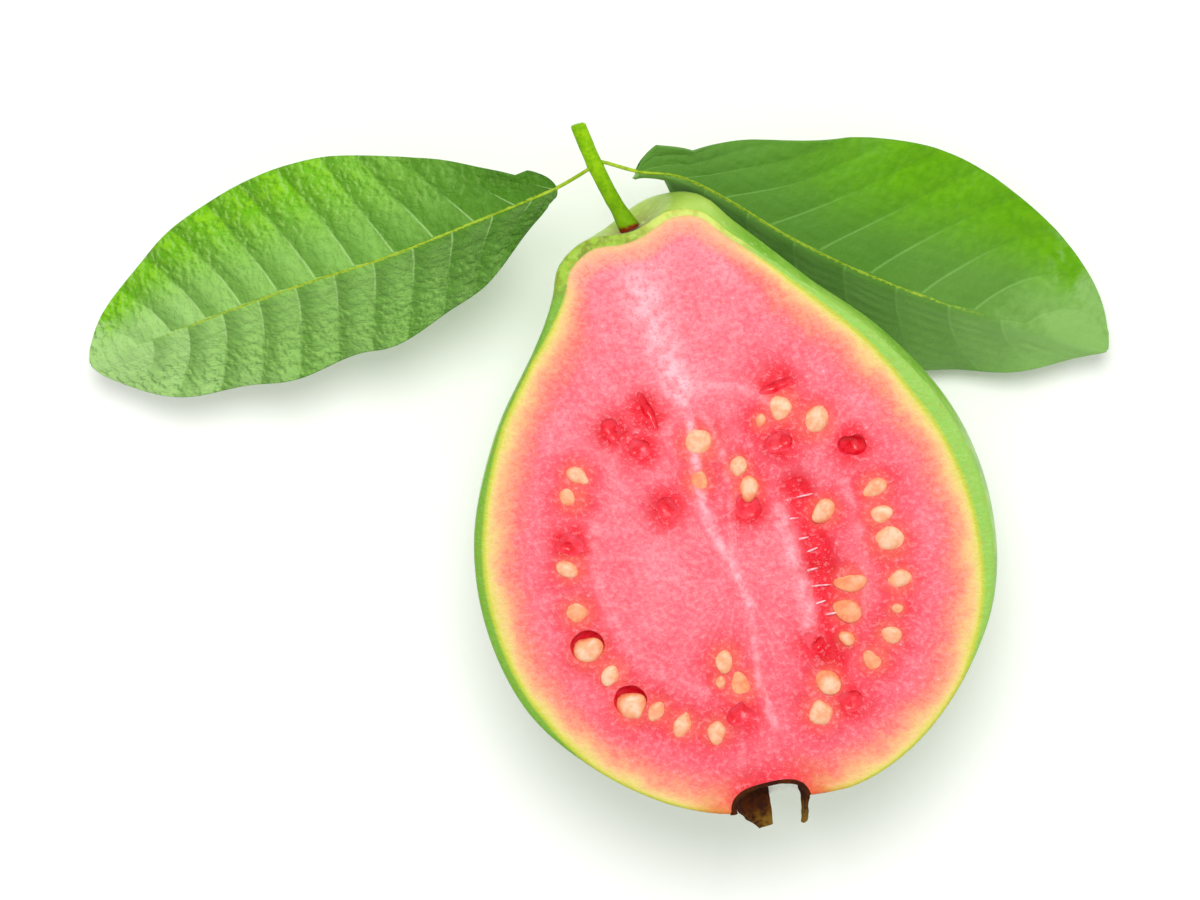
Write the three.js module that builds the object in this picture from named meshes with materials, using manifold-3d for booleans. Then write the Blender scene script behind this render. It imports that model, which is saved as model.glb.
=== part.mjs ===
// Half a guava on its stem, with two leaves, lying on its back with the cut face up.
// Millimetres. +Z is up, out of the cut face. +Y runs along the fruit from the calyx to the stem, and +X is to the
// right for someone who looks down on the cut face with the stem away from them.
// The origin is on the small flat spot of skin that the fruit rests on.
import * as THREE from "three";
import { mergeVertices } from "three/addons/utils/BufferGeometryUtils.js";
import Module from "manifold-3d";

const wasm = await Module();
wasm.setup();

// The fruit
const CUT_HEIGHT = 40; // the cut face above the table
const AXIS_DEPTH = { calyx: 1, middle: 5, stem: 4 }; // the fruit's own axis below the cut face
const FLATTEN = 0.948; // the underside's depth as a share of the fruit's half width
const BELLY_SLOPE = 0.0022; // how much deeper that gets with each millimetre towards the stem, where the weight is
const CALYX_ROUNDING = 0.3; // how much of that depth the underside loses towards the calyx
const NECK_SHIFT = -2.4; // the neck leans to the left
const NECK_TILT = 0.17; // its right shoulder stands higher
// How much higher the shoulders behind the cut face stand for each millimetre of depth, on the left and on the right
const NECK_NOD = { left: -0.08, right: 0.19, from: -8, to: 4 };
const ROUND_SIDES = 52;
const PROFILE_STEPS = 38;
// Radius and place along Y of the uncut fruit's outline, from the calyx end to the dimple at the stem
const OUTLINE = [
  [0, -35.6],
  [9, -35.9],
  [18.5, -32.2],
  [28, -24.3],
  [35.4, -13.5],
  [38, 0],
  [36.1, 13.5],
  [29.2, 27],
  [20.6, 37.4],
  [14.2, 46],
  [11.4, 50.4],
  [6.8, 52.2],
  [2.4, 50.8],
  [0, 50.4],
];
const CALYX_PIT = { x: -4.7, y: -36.4, depth: 1, across: 5.8, along: 4.9 };

// The seeds, in the groups that they lie in on the cut face, each group with a letter for what lies at each place:
// B a big seed, s a seed, d a seed that is nearly covered, t the tip of a seed, and the pockets of seeds that fell out:
// o a round one, c a wide one and i a slit
const SEED_GROUPS = [
  {
    name: "left row",
    at: [[-19, 18.5], [-20.5, 15.5], [-22.5, 9], [-23.5, 5.5], [-24, -1], [-24, -7], [-21.5, -11], [-20, -16.5],
      [-16.5, -18], [-13.5, -21], [-9, -23]],
    holds: "sdcsdBsBsss",
  },
  {
    name: "right row",
    at: [[21, 13], [22.5, 6], [22, 2], [22.5, -2], [22.5, -8], [21, -12], [19, -15.5], [16, -18.5]],
    holds: "ossBstsd",
  },
  {
    name: "beside the right row",
    at: [[14.5, 4.5], [15.5, -6.5], [14, -10.5], [13, -14.5], [8.5, -14], [8.5, -20], [11, -23.5], [6.5, -24]],
    holds: "sddtosoB",
  },
  { name: "top right", at: [[12.5, 24], [12.5, 20.8], [16.5, 17.5], [11, 16], [9, 19.5]], holds: "iBBot" },
  { name: "core", at: [[-0.5, 18.5], [4, 13.7], [4.7, 10.5], [-2, 13.5], [4, 7.8]], holds: "Bssdo" },
  { name: "low core", at: [[-5, -13], [-6.5, -16], [-3.8, -17.5], [-5, -21.5]], holds: "stdo" },
  { name: "left slots", at: [[-6.5, 25], [-9, 20], [-12, 23.5], [-7.5, 10.5]], holds: "iooo" },
];
const SEED_CORE = [0, -2.2]; // the seeds point at the middle of the core
const SEED_SIZES = {
  B: { length: 4.6, width: 3.6, thickness: 3, rise: 0.4 },
  s: { length: 3.4, width: 2.2, thickness: 2.4, rise: 0.35 },
  d: { length: 3, width: 2, thickness: 2.4, rise: 0.15 },
  t: { length: 1.8, width: 1.4, thickness: 2.2, rise: 0.25 },
};
const POCKET_SIZES = {
  o: { length: 3.4, width: 3, depth: 2 },
  c: { length: 5, width: 3.2, depth: 1.8 },
  i: { length: 4.2, width: 1.5, depth: 1.6 },
};
const SEED_SPREAD = 0.12; // how far a size strays from that, as a share
const SEED_TURN = 0.35; // how far a seed's turn strays, in radians
const POCKET_ROOM = 0.35; // the gap round a seed in its pocket
const POCKET_FLOOR = 0.7; // how far a seed is sunk into its pocket's floor
const RANDOM_SEED = 7;

// The stem
const STEM = { length: 16.8, baseRadius: 1.5, radius: 1.15, tipRadius: 1.12, lean: 0.19, rise: 0.13, bow: 0.7 };
const STEM_GAP = 0.65; // between the stem's foot and the dimple

// The leaves: midrib points from the stem to the tip, with the height measured down from the cut face
const LEAF_THICKNESS = 0.7;
const MIDRIB_THICKNESS = 0.7; // what the midrib adds under the blade
const MIDRIB_WIDTH = 1.1;
const LEAF_END_WIDTH = 0.06; // at the base and the tip, as a share of the widest
const PETIOLE_RADIUS = 0.55;
const FOLD_WIDTH = 3.5; // from the midrib out, where the blade bends down to its droop
const LEAF_STEPS = { along: 22, across: 12 };
const LEAVES = [
  {
    name: "leaf_right",
    petiole: [[-3.2, 61.3, -2.8], [0.7, 58.8, -4.4]],
    midrib: [[0.7, 58.8, -4.4], [5.7, 56.3, -8.8], [10.8, 51.2, -14.4], [18.9, 42.1, -18.8], [27.9, 34, -21.2],
      [38.6, 26, -24], [49, 19.4, -27.5], [59.1, 12.5, -31.5]],
    outward: [0.5, 0.85, 0], // the side of the blade away from the fruit
    halfWidth: 21.1,
    widestAt: 0.56,
    fullness: { base: 1, innerBase: 0.95, tip: 0.68, innerTip: 0.75 }, // the lower, the fuller
    shoulder: { outer: 4.2, inner: 3.2, length: 0.025 }, // the round lobes at the base
    outerDroop: [-6, 0, 10], // degrees below level of the outer side, at the base, the middle and the tip
    innerDroop: [72, 46, 36],
    innerShare: 0.92, // the inner side's width as a share of the outer side's
  },
  {
    name: "leaf_left",
    petiole: [[-6.9, 60.7, -2.6], [-11.2, 59.5, -3.2]],
    midrib: [[-11.2, 59.5, -3.2], [-25.7, 57.3, -5.6], [-38.3, 55.5, -8.6], [-50.9, 54.4, -12.5], [-64, 52.8, -17.5],
      [-76.6, 50.9, -23], [-88.4, 49, -29]],
    outward: [-0.12, 1, 0],
    halfWidth: 17.3,
    widestAt: 0.48,
    fullness: { base: 0.97, innerBase: 0.9, tip: 0.68, innerTip: 0.48 },
    shoulder: { outer: 3.9, inner: 2, length: 0.035 },
    outerDroop: [8, 4, 12],
    innerDroop: [38, 34, 20],
    innerShare: 0.95,
  },
];
const EDGE_WAVE = { height: 0.7, count: 4.5 }; // the leaf's wavy edge

// The dried calyx
const CALYX = { radius: 4.7, wall: 0.9, ringHeight: 1.5, sides: 28, gap: 0.6 };
// The turn of each sepal round the calyx, from +X towards +Z, in degrees, with its length and half width at the base
const SEPALS = [
  { turn: 222, length: 6.4, halfTurn: 40, flare: -0.5 },
  { turn: 338, length: 7.2, halfTurn: 26, flare: -0.8 },
];

const COLOURS = { flesh: 0xf76c7f, skin: 0x8cc63f, stem: 0x86bf12, leaf: 0x4f9a2c, calyx: 0x5a3317 };

function smooth(from, to, value) {
  const t = THREE.MathUtils.clamp((value - from) / (to - from), 0, 1);
  return t * t * (3 - 2 * t);
}

function seededRandom(seed) {
  let state = seed;
  return () => {
    state = (state * 16807) % 2147483647;
    return state / 2147483647;
  };
}

// A closed geometry as a solid, turned right side out where its faces point inwards
function solidOf(geometry) {
  const bare = geometry.index ? geometry.toNonIndexed() : geometry.clone();
  const points = new THREE.BufferGeometry().setAttribute("position", bare.getAttribute("position"));
  const merged = mergeVertices(points, 1e-4);
  const solid = (corners) =>
    new wasm.Manifold(
      new wasm.Mesh({ numProp: 3, vertProperties: merged.attributes.position.array, triVerts: corners }),
    );
  const made = solid(new Uint32Array(merged.index.array));
  return made.volume() < 0 ? solid(new Uint32Array(merged.index.array).reverse()) : made;
}

function meshOf(name, solid, colour, roughness) {
  const made = solid.getMesh();
  const points = new Float32Array(made.numVert * 3);
  for (let i = 0; i < made.numVert; i++) {
    points.set(made.vertProperties.subarray(i * made.numProp, i * made.numProp + 3), i * 3);
  }
  const geometry = new THREE.BufferGeometry()
    .setAttribute("position", new THREE.BufferAttribute(points, 3))
    .setIndex(new THREE.BufferAttribute(made.triVerts, 1));
  geometry.computeVertexNormals();
  const mesh = new THREE.Mesh(
    geometry,
    new THREE.MeshStandardMaterial({ color: colour, roughness, metalness: 0 }),
  );
  mesh.name = name;
  return mesh;
}

function moveVertices(geometry, move) {
  const place = geometry.attributes.position;
  const v = new THREE.Vector3();
  for (let i = 0; i < place.count; i++) {
    v.fromBufferAttribute(place, i);
    move(v);
    place.setXYZ(i, v.x, v.y, v.z);
  }
  return geometry;
}

function boxSolid(low, high) {
  const size = high.map((h, i) => h - low[i]);
  const box = new THREE.BoxGeometry(...size);
  box.translate(...low.map((l, i) => l + size[i] / 2));
  return solidOf(box);
}

function axisDepth(y) {
  const calyx = (AXIS_DEPTH.calyx - AXIS_DEPTH.middle) * smooth(-8, -36, y);
  const stem = (AXIS_DEPTH.stem - AXIS_DEPTH.middle) * smooth(15, 50, y);
  return AXIS_DEPTH.middle + calyx + stem;
}

function neckNod(x) {
  return NECK_NOD.left + (NECK_NOD.right - NECK_NOD.left) * smooth(NECK_NOD.from, NECK_NOD.to, x);
}

// Turns the plain turned shape into the fruit: v.z is measured from the fruit's axis on the way in
function shapeFruit(v) {
  const y = v.y;
  if (v.z < 0) {
    v.z *= FLATTEN * (1 + BELLY_SLOPE * Math.min(y, 20)) - CALYX_ROUNDING * smooth(-4, -36, y);
  }
  v.y += (NECK_TILT * v.x - neckNod(v.x) * v.z) * smooth(36, 52, y);
  v.x += NECK_SHIFT * smooth(36, 52, y);
  v.z += CUT_HEIGHT - axisDepth(y);
}

function uncutFruit() {
  const line = new THREE.CatmullRomCurve3(
    OUTLINE.map(([r, y]) => new THREE.Vector3(r, y, 0)),
    false,
    "centripetal",
  );
  const profile = line.getSpacedPoints(PROFILE_STEPS).map((p) => new THREE.Vector2(Math.max(p.x, 0), p.y));
  profile[0].x = 0;
  profile[PROFILE_STEPS].x = 0;
  return solidOf(moveVertices(new THREE.LatheGeometry(profile, ROUND_SIDES), shapeFruit));
}

function ellipsoid(radii, turn, place, sides, rings) {
  const ball = new THREE.SphereGeometry(1, sides, rings);
  ball.rotateX(Math.PI / 2);
  ball.scale(...radii);
  ball.rotateZ(turn);
  ball.translate(...place);
  return solidOf(ball);
}

// Every place of the groups, with the size of what lies there and its turn about Z
function seedPlaces() {
  const random = seededRandom(RANDOM_SEED);
  const stray = (share) => 1 + share * (2 * random() - 1);
  return SEED_GROUPS.flatMap(({ at, holds }) =>
    at.map(([x, y], i) => {
      const size = SEED_SIZES[holds[i]] ?? POCKET_SIZES[holds[i]];
      const turn = Math.atan2(y - SEED_CORE[1], x - SEED_CORE[0]) + SEED_TURN * (2 * random() - 1);
      return { ...size, x, y, turn, length: size.length * stray(SEED_SPREAD), width: size.width * stray(SEED_SPREAD) };
    }),
  );
}

function seedSolid(place) {
  const half = place.thickness / 2;
  const middle = CUT_HEIGHT + place.rise - half;
  return ellipsoid([place.length / 2, place.width / 2, half], place.turn, [place.x, place.y, middle], 8, 4);
}

function pocketSolid(place) {
  const floor = place.depth ?? place.thickness - place.rise - POCKET_FLOOR;
  const room = place.depth ? 0 : POCKET_ROOM;
  const radii = [place.length / 2 + room, place.width / 2 + room, floor];
  return ellipsoid(radii, place.turn, [place.x, place.y, CUT_HEIGHT], 8, 4);
}

function fruitHalf() {
  const far = 90;
  const aboveCut = boxSolid([-far, -far, CUT_HEIGHT], [far, far, CUT_HEIGHT + far]);
  const belowTable = boxSolid([-far, -far, -far], [far, far, 0]);
  const pit = ellipsoid(
    [CALYX_PIT.across, CALYX_PIT.along, CALYX_PIT.across],
    0,
    [CALYX_PIT.x, CALYX_PIT.y, CUT_HEIGHT - CALYX_PIT.depth],
    24,
    16,
  );
  let fruit = uncutFruit().subtract(aboveCut).subtract(belowTable).subtract(pit);
  const places = seedPlaces();
  for (const place of places) fruit = fruit.subtract(pocketSolid(place));
  for (const place of places.filter((p) => p.thickness)) fruit = fruit.add(seedSolid(place));
  return meshOf("fruit_half", fruit, COLOURS.flesh, 0.45);
}

// The stem's middle line, from its foot in the dimple, at a share of its length
function stemPoint(share) {
  const along = STEM.length * share;
  const lean = -STEM.lean * along - STEM.bow * Math.sin(Math.PI * share);
  return new THREE.Vector3(
    NECK_SHIFT + lean,
    OUTLINE.at(-1)[1] + STEM_GAP + along,
    CUT_HEIGHT - AXIS_DEPTH.stem + STEM.rise * along,
  );
}

function stem() {
  const rod = new THREE.CylinderGeometry(1, 1, 1, 12, 12);
  moveVertices(rod, (v) => {
    const share = v.y + 0.5;
    const foot = STEM.baseRadius + (STEM.radius - STEM.baseRadius) * smooth(0, 0.22, share);
    const radius = foot + (STEM.tipRadius - STEM.radius) * share;
    const middle = stemPoint(share);
    const footTilt = radius * (NECK_TILT * v.x - neckNod(radius * v.x) * v.z) * smooth(0.4, 0, share);
    v.set(middle.x + radius * v.x, middle.y + footTilt, middle.z + radius * v.z);
  });
  return meshOf("stem", solidOf(rod), COLOURS.stem, 0.5);
}

// A closed sheet: pointAt(s, t, side) gives the upper side for 1 and the lower for -1, and both are split alike
function closedSheet(along, across, pointAt) {
  const grid = new THREE.PlaneGeometry(1, 1, along, across);
  const place = grid.attributes.position;
  const count = place.count;
  const points = new Float32Array(count * 6);
  for (let i = 0; i < count; i++) {
    for (const side of [1, -1]) {
      const p = pointAt(place.getX(i) + 0.5, 2 * place.getY(i), side);
      points.set([p.x, p.y, p.z], 3 * (side > 0 ? i : i + count));
    }
  }
  const faces = [...grid.index.array];
  for (let i = 0; i < grid.index.count; i += 3) {
    const [a, b, c] = grid.index.array.subarray(i, i + 3);
    faces.push(a + count, c + count, b + count);
  }
  const rim = [];
  for (let i = 0; i < along; i++) rim.push(i);
  for (let j = 0; j < across; j++) rim.push(along + j * (along + 1));
  for (let i = along; i > 0; i--) rim.push(across * (along + 1) + i);
  for (let j = across; j > 0; j--) rim.push(j * (along + 1));
  rim.forEach((a, i) => {
    const b = rim[(i + 1) % rim.length];
    faces.push(a, b, b + count, a, b + count, a + count);
  });
  return new THREE.BufferGeometry().setAttribute("position", new THREE.BufferAttribute(points, 3)).setIndex(faces);
}

// The width of the blade's outer or inner side, from the base at 0 to the blunt tip at 1
function bladeWidth(s, outer, spec) {
  const swell = Math.sin(Math.PI * Math.min(s ** (Math.log(0.5) / Math.log(spec.widestAt)), 1));
  const { base, innerBase, tip, innerTip } = spec.fullness;
  const [towardsBase, towardsTip] = outer ? [base, tip] : [innerBase, innerTip];
  const fullness = s > spec.widestAt ? towardsTip : towardsBase;
  const widest = spec.halfWidth * (outer ? 1 : spec.innerShare);
  const lobe = (outer ? spec.shoulder.outer : spec.shoulder.inner) * Math.sqrt(Math.min(s / spec.shoulder.length, 1));
  return Math.max(widest * Math.max(LEAF_END_WIDTH, swell ** fullness), lobe * smooth(1, 0.5, s));
}

function along3(values, s) {
  const t = s * 2;
  return t < 1 ? values[0] + (values[1] - values[0]) * t : values[1] + (values[2] - values[1]) * (t - 1);
}

function vectorsOf(points) {
  return points.map(([x, y, down]) => new THREE.Vector3(x, y, CUT_HEIGHT + down));
}

function leaf(spec) {
  const midrib = new THREE.CatmullRomCurve3(vectorsOf(spec.midrib));
  const outward = new THREE.Vector3(...spec.outward).normalize();
  const up = new THREE.Vector3(0, 0, 1);
  const pointAt = (share, t, side) => {
    const s = 1 - (1 - share) ** 1.25;
    const forward = midrib.getTangentAt(s);
    const level = outward.clone().addScaledVector(forward, -outward.dot(forward)).normalize();
    const lift = new THREE.Vector3().crossVectors(forward, level);
    if (lift.dot(up) < 0) lift.negate();
    const outer = t > 0;
    const droop = THREE.MathUtils.degToRad(along3(outer ? spec.outerDroop : spec.innerDroop, s));
    const width = Math.abs(t) * bladeWidth(s, outer, spec);
    const bend = droop * smooth(0, FOLD_WIDTH, width);
    const wave = EDGE_WAVE.height * t ** 4 * Math.sin(2 * Math.PI * EDGE_WAVE.count * s + (outer ? 0 : 2));
    const across = level.clone().multiplyScalar((outer ? 1 : -1) * Math.cos(bend)).addScaledVector(lift, -Math.sin(bend));
    const normal = lift.clone().multiplyScalar(Math.cos(bend)).addScaledVector(level, (outer ? 1 : -1) * Math.sin(bend));
    const ridge = side < 0 ? MIDRIB_THICKNESS * Math.exp(-((width / MIDRIB_WIDTH) ** 2)) * (1 - 0.6 * s) : 0;
    return midrib
      .getPointAt(s)
      .addScaledVector(across, width)
      .addScaledVector(normal, wave + (side * LEAF_THICKNESS) / 2)
      .addScaledVector(lift, -ridge);
  };
  const blade = solidOf(closedSheet(LEAF_STEPS.along, LEAF_STEPS.across, pointAt));
  return meshOf(spec.name, blade.add(petiole(spec)), COLOURS.leaf, 0.5);
}

// The thin stalk of a leaf, from the stem to a little way under the midrib
function petiole(spec) {
  const [from, to] = vectorsOf(spec.petiole);
  const midrib = new THREE.CatmullRomCurve3(vectorsOf(spec.midrib));
  const down = new THREE.Vector3(0, 0, -MIDRIB_THICKNESS / 2);
  const path = new THREE.CatmullRomCurve3([from, to.lerp(from, 0.2).add(down), midrib.getPointAt(0.05).add(down)]);
  const section = new THREE.Shape().absarc(0, 0, PETIOLE_RADIUS, 0, 2 * Math.PI);
  return solidOf(
    new THREE.ExtrudeGeometry(section, { extrudePath: path, steps: 6, curveSegments: 4, bevelEnabled: false }),
  );
}

function calyx() {
  const middle = new THREE.Vector3(CALYX_PIT.x, 0, CUT_HEIGHT - CALYX_PIT.depth);
  const roof = CALYX_PIT.y + CALYX_PIT.along - CALYX.gap - 0.9;
  const { radius, wall, ringHeight } = CALYX;
  const ring = new THREE.LatheGeometry(
    [
      [radius - wall, roof - ringHeight],
      [radius - 0.5, roof - ringHeight],
      [radius - 1.1, roof],
      [radius - wall - 1.1, roof],
      [radius - wall, roof - ringHeight],
    ].map(([r, y]) => new THREE.Vector2(r, y)),
    CALYX.sides,
  );
  ring.translate(middle.x, 0, middle.z);
  let crown = solidOf(ring);
  for (const sepal of SEPALS) {
    const pointAt = (s, t, side) => {
      const turn = THREE.MathUtils.degToRad(sepal.turn + t * sepal.halfTurn * (1 - s ** 1.6 * 0.9));
      const r = radius - 0.95 + 0.5 * s + sepal.flare * s * s + (side * wall * (1 - 0.4 * s)) / 2;
      return new THREE.Vector3(
        middle.x + r * Math.cos(turn),
        roof - 0.5 * ringHeight - sepal.length * s,
        middle.z + r * Math.sin(turn),
      );
    };
    crown = crown.add(solidOf(closedSheet(8, 6, pointAt)));
  }
  const far = 40;
  const aboveCut = boxSolid([-far, -80, CUT_HEIGHT], [far, far, CUT_HEIGHT + far]);
  return meshOf("calyx", crown.subtract(aboveCut), COLOURS.calyx, 0.85);
}

const guava = new THREE.Group();
guava.add(fruitHalf(), stem(), calyx(), ...LEAVES.map(leaf));

export default guava;
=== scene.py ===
# Half a guava on its stem, with two leaves, lying on its back with the cut face up.
# The pieces are shaped in millimetres and brought to metres when they are done.
# +Z is up, out of the cut face; +Y runs from the calyx to the stem.
import math
import random

import bpy
import numpy as np
from mathutils import Matrix, Vector, kdtree, noise


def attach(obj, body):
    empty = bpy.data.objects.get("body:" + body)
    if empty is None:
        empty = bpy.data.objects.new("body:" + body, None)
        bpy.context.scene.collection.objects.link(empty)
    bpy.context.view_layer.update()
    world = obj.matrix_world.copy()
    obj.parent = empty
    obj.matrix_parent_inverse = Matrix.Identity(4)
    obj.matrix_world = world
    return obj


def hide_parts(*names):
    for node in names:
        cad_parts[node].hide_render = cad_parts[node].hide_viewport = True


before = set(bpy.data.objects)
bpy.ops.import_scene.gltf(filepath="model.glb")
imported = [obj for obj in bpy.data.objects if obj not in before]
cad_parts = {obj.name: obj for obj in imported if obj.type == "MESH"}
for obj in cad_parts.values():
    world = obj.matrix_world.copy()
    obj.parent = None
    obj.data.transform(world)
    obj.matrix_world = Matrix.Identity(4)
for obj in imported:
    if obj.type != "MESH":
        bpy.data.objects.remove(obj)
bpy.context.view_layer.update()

MM = 0.001

# The fruit: its own axis's depth under the cut face, and how its turned shape is flattened and bent
CUT_HEIGHT = 40.0
AXIS_DEPTH = {"calyx": 1.0, "middle": 5.0, "stem": 4.0}
FLATTEN = 0.948
BELLY_SLOPE = 0.0022
CALYX_ROUNDING = 0.3
NECK_SHIFT = -2.4
NECK_TILT = 0.17
# How much higher the shoulders behind the cut face stand for each millimetre of depth
NECK_NOD = {"left": -0.08, "right": 0.19, "from": -8.0, "to": 4.0}
OUTLINE = [
    (0, -35.6), (9, -35.9), (18.5, -32.2), (28, -24.3), (35.4, -13.5), (38, 0), (36.1, 13.5),
    (29.2, 27), (20.6, 37.4), (14.2, 46), (11.4, 50.4), (6.8, 52.2), (2.4, 50.8), (0, 50.4),
]
OUTLINE_STEPS = 96
ROUND_STEPS = 160
BLOCK = {"low": (-42, -41), "high": (42, 56)}  # the block whose top is the cut face
PIT = {"x": -4.0, "y": -36.4, "depth": 1.0, "across": 6.1, "along": 4.2, "squareness": 0.72}
CUT_STEP = 0.36  # the spacing of the cut face's grid
CUT_EDGE = 0.55  # the rounding of its edge
RIBS = {"count": 9, "height": 0.012}  # the faint ribs towards the calyx

# The seeds and pockets, at the same places as in the part's source: B a big seed, s a seed, d a seed that
# is nearly covered, t the tip of a seed, and the pockets o, a round one, c, a wide one, and i, a slit
SEED_GROUPS = {
    "left row": ("sdcsdBsBsss", [
        (-19, 18.5), (-20.5, 15.5), (-22.5, 9), (-23.5, 5.5), (-24, -1), (-24, -7), (-21.5, -11),
        (-20, -16.5), (-16.5, -18), (-13.5, -21), (-9, -23)]),
    "right row": ("ossBstsd", [
        (21, 13), (22.5, 6), (22, 2), (22.5, -2), (22.5, -8), (21, -12), (19, -15.5), (16, -18.5)]),
    "beside the right row": ("sddtosoB", [
        (14.5, 4.5), (15.5, -6.5), (14, -10.5), (13, -14.5), (8.5, -14), (8.5, -20), (11, -23.5),
        (6.5, -24)]),
    "top right": ("iBBot", [(12.5, 24), (12.5, 20.8), (16.5, 17.5), (11, 16), (9, 19.5)]),
    "core": ("Bssdo", [(-0.5, 18.5), (4, 13.7), (4.7, 10.5), (-2, 13.5), (4, 7.8)]),
    "low core": ("stdo", [(-5, -13), (-6.5, -16), (-3.8, -17.5), (-5, -21.5)]),
    "left slots": ("iooo", [(-6.5, 25), (-9, 20), (-12, 23.5), (-7.5, 10.5)]),
}
SEED_CORE = (0, -2.2)  # the seeds point at it
# Length, width, thickness, rise above the cut face, and how orange it is
SEED_SIZES = {
    "B": (5.2, 4.3, 2.4, 0.55, 0.35),
    "s": (4.4, 3.1, 1.7, 0.42, 0.45),
    "d": (4.5, 3.3, 1.1, 0.2, 0.9),
    "t": (2.4, 1.9, 1.2, 0.27, 0.5),
}
# Length, width and depth
POCKET_SIZES = {"o": (3.7, 3.2, 0.75), "c": (4.8, 3.2, 0.85), "i": (6.2, 1.8, 0.9)}
POCKET_ROUGHNESS = {"o": 1.1, "c": 1.1, "i": 0.4, "B": 0.15}
DEEP_POCKET = {"at": (21, 13), "depth": 1.8, "grown": 0.35}
# The gap on the upper side of the big seeds to the left of an x: its shift up, and its growth past the seed
SEED_GAP = {"left_of": -15, "shift": 0.8, "growth": 0.14}
SEED_SPREAD = 0.12  # how far a size strays, as a share
SEED_TURN = 0.3  # how far a turn strays, in radians
SLIT_TURNS = {(12.5, 24): 0.15, (-6.5, 25): 1.75}
RANDOM_SEED = 7

# Lines on the cut face: the pale veins, each with its half width and its strength, and the deep red trench
PALE_LINES = [
    (2.8, 1.0, [(-2.6, 43), (-2.2, 37), (-1.6, 31), (-1, 27)]),
    (0.7, 0.95, [(-1, 27), (-1.2, 20), (-2.2, 12), (-2, 6), (-0.4, 0), (0.4, -6)]),
    (0.7, 0.6, [(0.4, -6), (-0.2, -10), (-0.6, -14), (-1.0, -18), (-0.4, -24)]),
    (0.6, 0.35, [(0, 26), (2.2, 18), (2, 11), (0.4, 4), (-0.4, 0)]),
    (0.9, 0.32, [(-18.8, 10), (-19.8, 3), (-19.2, -4), (-16.6, -11), (-12, -15.4), (-9, -17)]),
    (1.1, 0.7, [(8.4, 6), (8.2, 0), (8.6, -6), (8, -12)]),
    (0.8, 0.3, [(18.4, 8), (18.6, 1), (18, -6), (16.4, -11)]),
    (0.7, 0.5, [(1.5, 27), (8, 24.6), (12, 21)]),
]
TRENCH = [(11.4, 8.5), (12.2, 2), (12, -4), (12.2, -9), (11.2, -14), (9.4, -19)]
TRENCH_WIDTH = 2.4
TRENCH_DEPTH = 0.9
FIBRES = [
    (10.2, 1.4), (11.4, -0.6), (10.6, -3.4), (11.2, -6.0),
    (10.2, -8.4), (11.6, -10.4), (12.4, 7.4), (9.4, 4.6),
]

# How wide the skin is on the cut face, by the direction from the core in degrees from +X towards +Y
SKIN_BAND = [
    (-180, 1.5), (-155, 1.4), (-139, 0.2), (-90, 0.1), (-42, 0.2), (-24, 1.4), (-8, 2.1), (10, 2.5),
    (30, 2.5), (45, 1.6), (60, 0.8), (70, 0.6), (80, 0.9), (95, 1.6), (106, 1.8), (113, 1.0), (120, 0.4),
    (135, 0.7), (155, 1.4), (180, 1.5),
]
# The colours of the rind, 0 to 255, from the skin in to the flesh, by the share of its depth
RIND_DEPTH = 8.0
RIND_COLOURS = [
    (0.0, (200, 212, 62)), (0.05, (232, 224, 108)), (0.12, (246, 212, 134)), (0.19, (248, 198, 132)),
    (0.31, (253, 172, 128)), (0.44, (254, 148, 122)), (0.58, (254, 128, 120)), (0.82, (253, 112, 122)),
]

# The stem
STEM = {
    "length": 16.8, "foot": 1.5, "radius": 1.15, "tip": 1.12,
    "lean": 0.19, "rise": 0.13, "bow": 0.45, "gap": 0.65, "brown_below": 51.3,
}

# The leaves: midrib points with their height under the cut face, and angles of droop in degrees
LEAF_THICKNESS = 0.5
LEAF_GRID = (200, 96)
LEAF_END_WIDTH = 0.012  # at the base and the tip, as a share of the widest
LEAF_END_CROWDING = 0.8  # how much closer the blade's rows of points lie at its two ends
FOLD_WIDTH = 1.1  # how soon the blade bends down beside the midrib
EDGE_WAVE = {"height": 0.7, "count": 4.5}
LEAVES = {
    "leaf_right": {
        "root": (-4.3, 61.9, -2.4),
        "petiole": (-3.2, 61.3, -2.8),
        "midrib": [(0.7, 58.8, -4.4), (5.7, 56.3, -8.8), (10.8, 51.2, -14.4), (18.9, 42.1, -18.8),
                   (27.9, 34, -21.2), (38.6, 26, -24), (49, 19.4, -27.5), (59.1, 12.5, -31.5)],
        "outward": (0.5, 0.85, 0),
        "half_width": 21.1,
        "widest_at": 0.56,
        "fullness": {"base": 1, "inner_base": 0.95, "tip": 0.6, "inner_tip": 0.88},
        "shoulder": {"outer": 4.2, "inner": 3.2, "length": 0.025},
        "outer_droop": (-6, 0, 10),
        "inner_droop": (72, 46, 36),
        "inner_share": 0.86,
        "veins": 9.6,
        "sweep": {"outer": 0.24, "inner": 0.13},
        "quilt": 0.16,
        "wrinkle": 0.06,
        "rib_end": 0.72,
    },
    "leaf_left": {
        "root": (-5.4, 61.2, -2.3),
        "petiole": (-6.9, 60.7, -2.6),
        "midrib": [(-11.2, 59.5, -3.2), (-25.7, 57.3, -5.6), (-38.3, 55.5, -8.6), (-50.9, 54.4, -12.5),
                   (-64, 52.8, -17.5), (-76.6, 50.9, -23), (-88.4, 49, -29)],
        "outward": (-0.12, 1, 0),
        "half_width": 17.3,
        "widest_at": 0.48,
        "fullness": {"base": 0.97, "inner_base": 0.9, "tip": 0.6, "inner_tip": 0.46},
        "shoulder": {"outer": 3.9, "inner": 2, "length": 0.035},
        "outer_droop": (8, 4, 12),
        "inner_droop": (38, 34, 20),
        "inner_share": 0.95,
        "veins": 12.4,
        "sweep": {"outer": 0.085, "inner": 0.12},
        "quilt": 0.3,
        "wrinkle": 0.13,
        "rib_end": 0.84,
    },
}
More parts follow.
